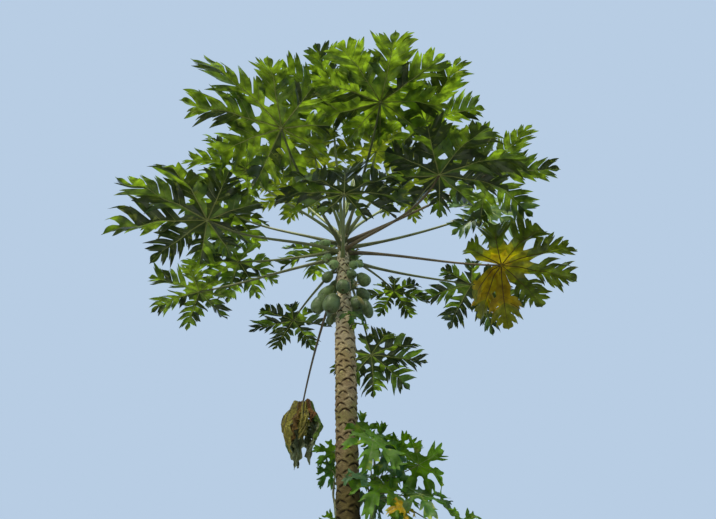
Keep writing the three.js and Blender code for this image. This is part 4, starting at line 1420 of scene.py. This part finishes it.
class PAPAYA_OT_ribs(Operator):
    """Makes the ribs of the crown's blades"""

    bl_idname = "papaya.ribs"
    bl_label = "Ribs"

    def execute(self, context):
        settings = context.scene.papaya_leaf
        rib = stalk_material("Leaf rib", (200, 206, 120), (176, 186, 96))
        numbers = [n for n in range(YOUNGEST) if n != YELLOWING]
        grow_ribs("leaf_ribs", numbers, "leaf_green", rib, settings)
        pale = stalk_material("Young leaf rib", (158, 168, 96), (140, 152, 80))
        grow_ribs("young_leaf_ribs", range(YOUNGEST, len(CROWN)), "young_leaf", pale, settings)
        return {"FINISHED"}


class PAPAYA_OT_yellowing_leaf(Operator):
    """Makes the old leaf that turns yellow"""

    bl_idname = "papaya.yellowing_leaf"
    bl_label = "Yellowing leaf"

    def execute(self, context):
        grow_yellowing_leaf(context.scene.papaya_leaf)
        return {"FINISHED"}


class PAPAYA_OT_wilted_leaf(Operator):
    """Makes the wilted leaf"""

    bl_idname = "papaya.wilted_leaf"
    bl_label = "Wilted leaf"

    def execute(self, context):
        grow_wilted_leaf()
        return {"FINISHED"}


class PAPAYA_OT_folded_leaves(Operator):
    """Makes the folded young leaves on the growing tip"""

    bl_idname = "papaya.folded_leaves"
    bl_label = "Folded leaves"

    def execute(self, context):
        grow_folded_leaves()
        return {"FINISHED"}


class PAPAYA_OT_fruit(Operator):
    """Makes the fruit and their stalks"""

    bl_idname = "papaya.fruit"
    bl_label = "Fruit"

    def execute(self, context):
        grow_fruit(context.scene.papaya_fruit)
        return {"FINISHED"}


class PAPAYA_OT_flowers(Operator):
    """Makes the small flowers between the fruit"""

    bl_idname = "papaya.flowers"
    bl_label = "Flowers"

    def execute(self, context):
        grow_flowers()
        return {"FINISHED"}


class PAPAYA_OT_shoots(Operator):
    """Makes the side shoots"""

    bl_idname = "papaya.shoots"
    bl_label = "Side shoots"

    def execute(self, context):
        grow_shoots(context.scene.papaya_leaf)
        return {"FINISHED"}


class PAPAYA_OT_stage(Operator):
    """Makes the floor, the light and the camera"""

    bl_idname = "papaya.stage"
    bl_label = "Stage"

    def execute(self, context):
        set_stage(context.scene.papaya_stage)
        return {"FINISHED"}


SETTINGS = {
    "papaya_trunk": TrunkSettings, "papaya_leaf": LeafSettings,
    "papaya_fruit": FruitSettings, "papaya_stage": StageSettings,
}
OPERATORS = [
    PAPAYA_OT_trunk, PAPAYA_OT_petioles, PAPAYA_OT_blades, PAPAYA_OT_ribs,
    PAPAYA_OT_yellowing_leaf, PAPAYA_OT_wilted_leaf, PAPAYA_OT_folded_leaves, PAPAYA_OT_fruit,
    PAPAYA_OT_flowers, PAPAYA_OT_shoots, PAPAYA_OT_stage,
]


class PAPAYA_PT_tree(Panel):
    """Lists the tree's sizes and colours, and the buttons that make its pieces"""

    bl_label = "Papaya Tree"
    bl_idname = "PAPAYA_PT_tree"
    bl_space_type = "VIEW_3D"
    bl_region_type = "UI"
    bl_category = "Papaya Tree"

    def draw(self, context):
        for name, group in SETTINGS.items():
            box = self.layout.box()
            for prop in group.__annotations__:
                box.prop(getattr(context.scene, name), prop)
        for operator in OPERATORS:
            self.layout.operator(operator.bl_idname)


def register():
    """Adds the settings, the operators and the panel to Blender."""
    for group in SETTINGS.values():
        bpy.utils.register_class(group)
    for name, group in SETTINGS.items():
        setattr(bpy.types.Scene, name, PointerProperty(type=group))
    for made in [*OPERATORS, PAPAYA_PT_tree]:
        bpy.utils.register_class(made)


def unregister():
    """Takes them away again."""
    for made in [PAPAYA_PT_tree, *reversed(OPERATORS)]:
        bpy.utils.unregister_class(made)
    for name, group in SETTINGS.items():
        delattr(bpy.types.Scene, name)
        bpy.utils.unregister_class(group)


def main():
    """Makes every piece."""
    register()
    for operator in OPERATORS:
        getattr(bpy.ops.papaya, operator.bl_idname.split(".")[1])()


if __name__ == "__main__":
    main()
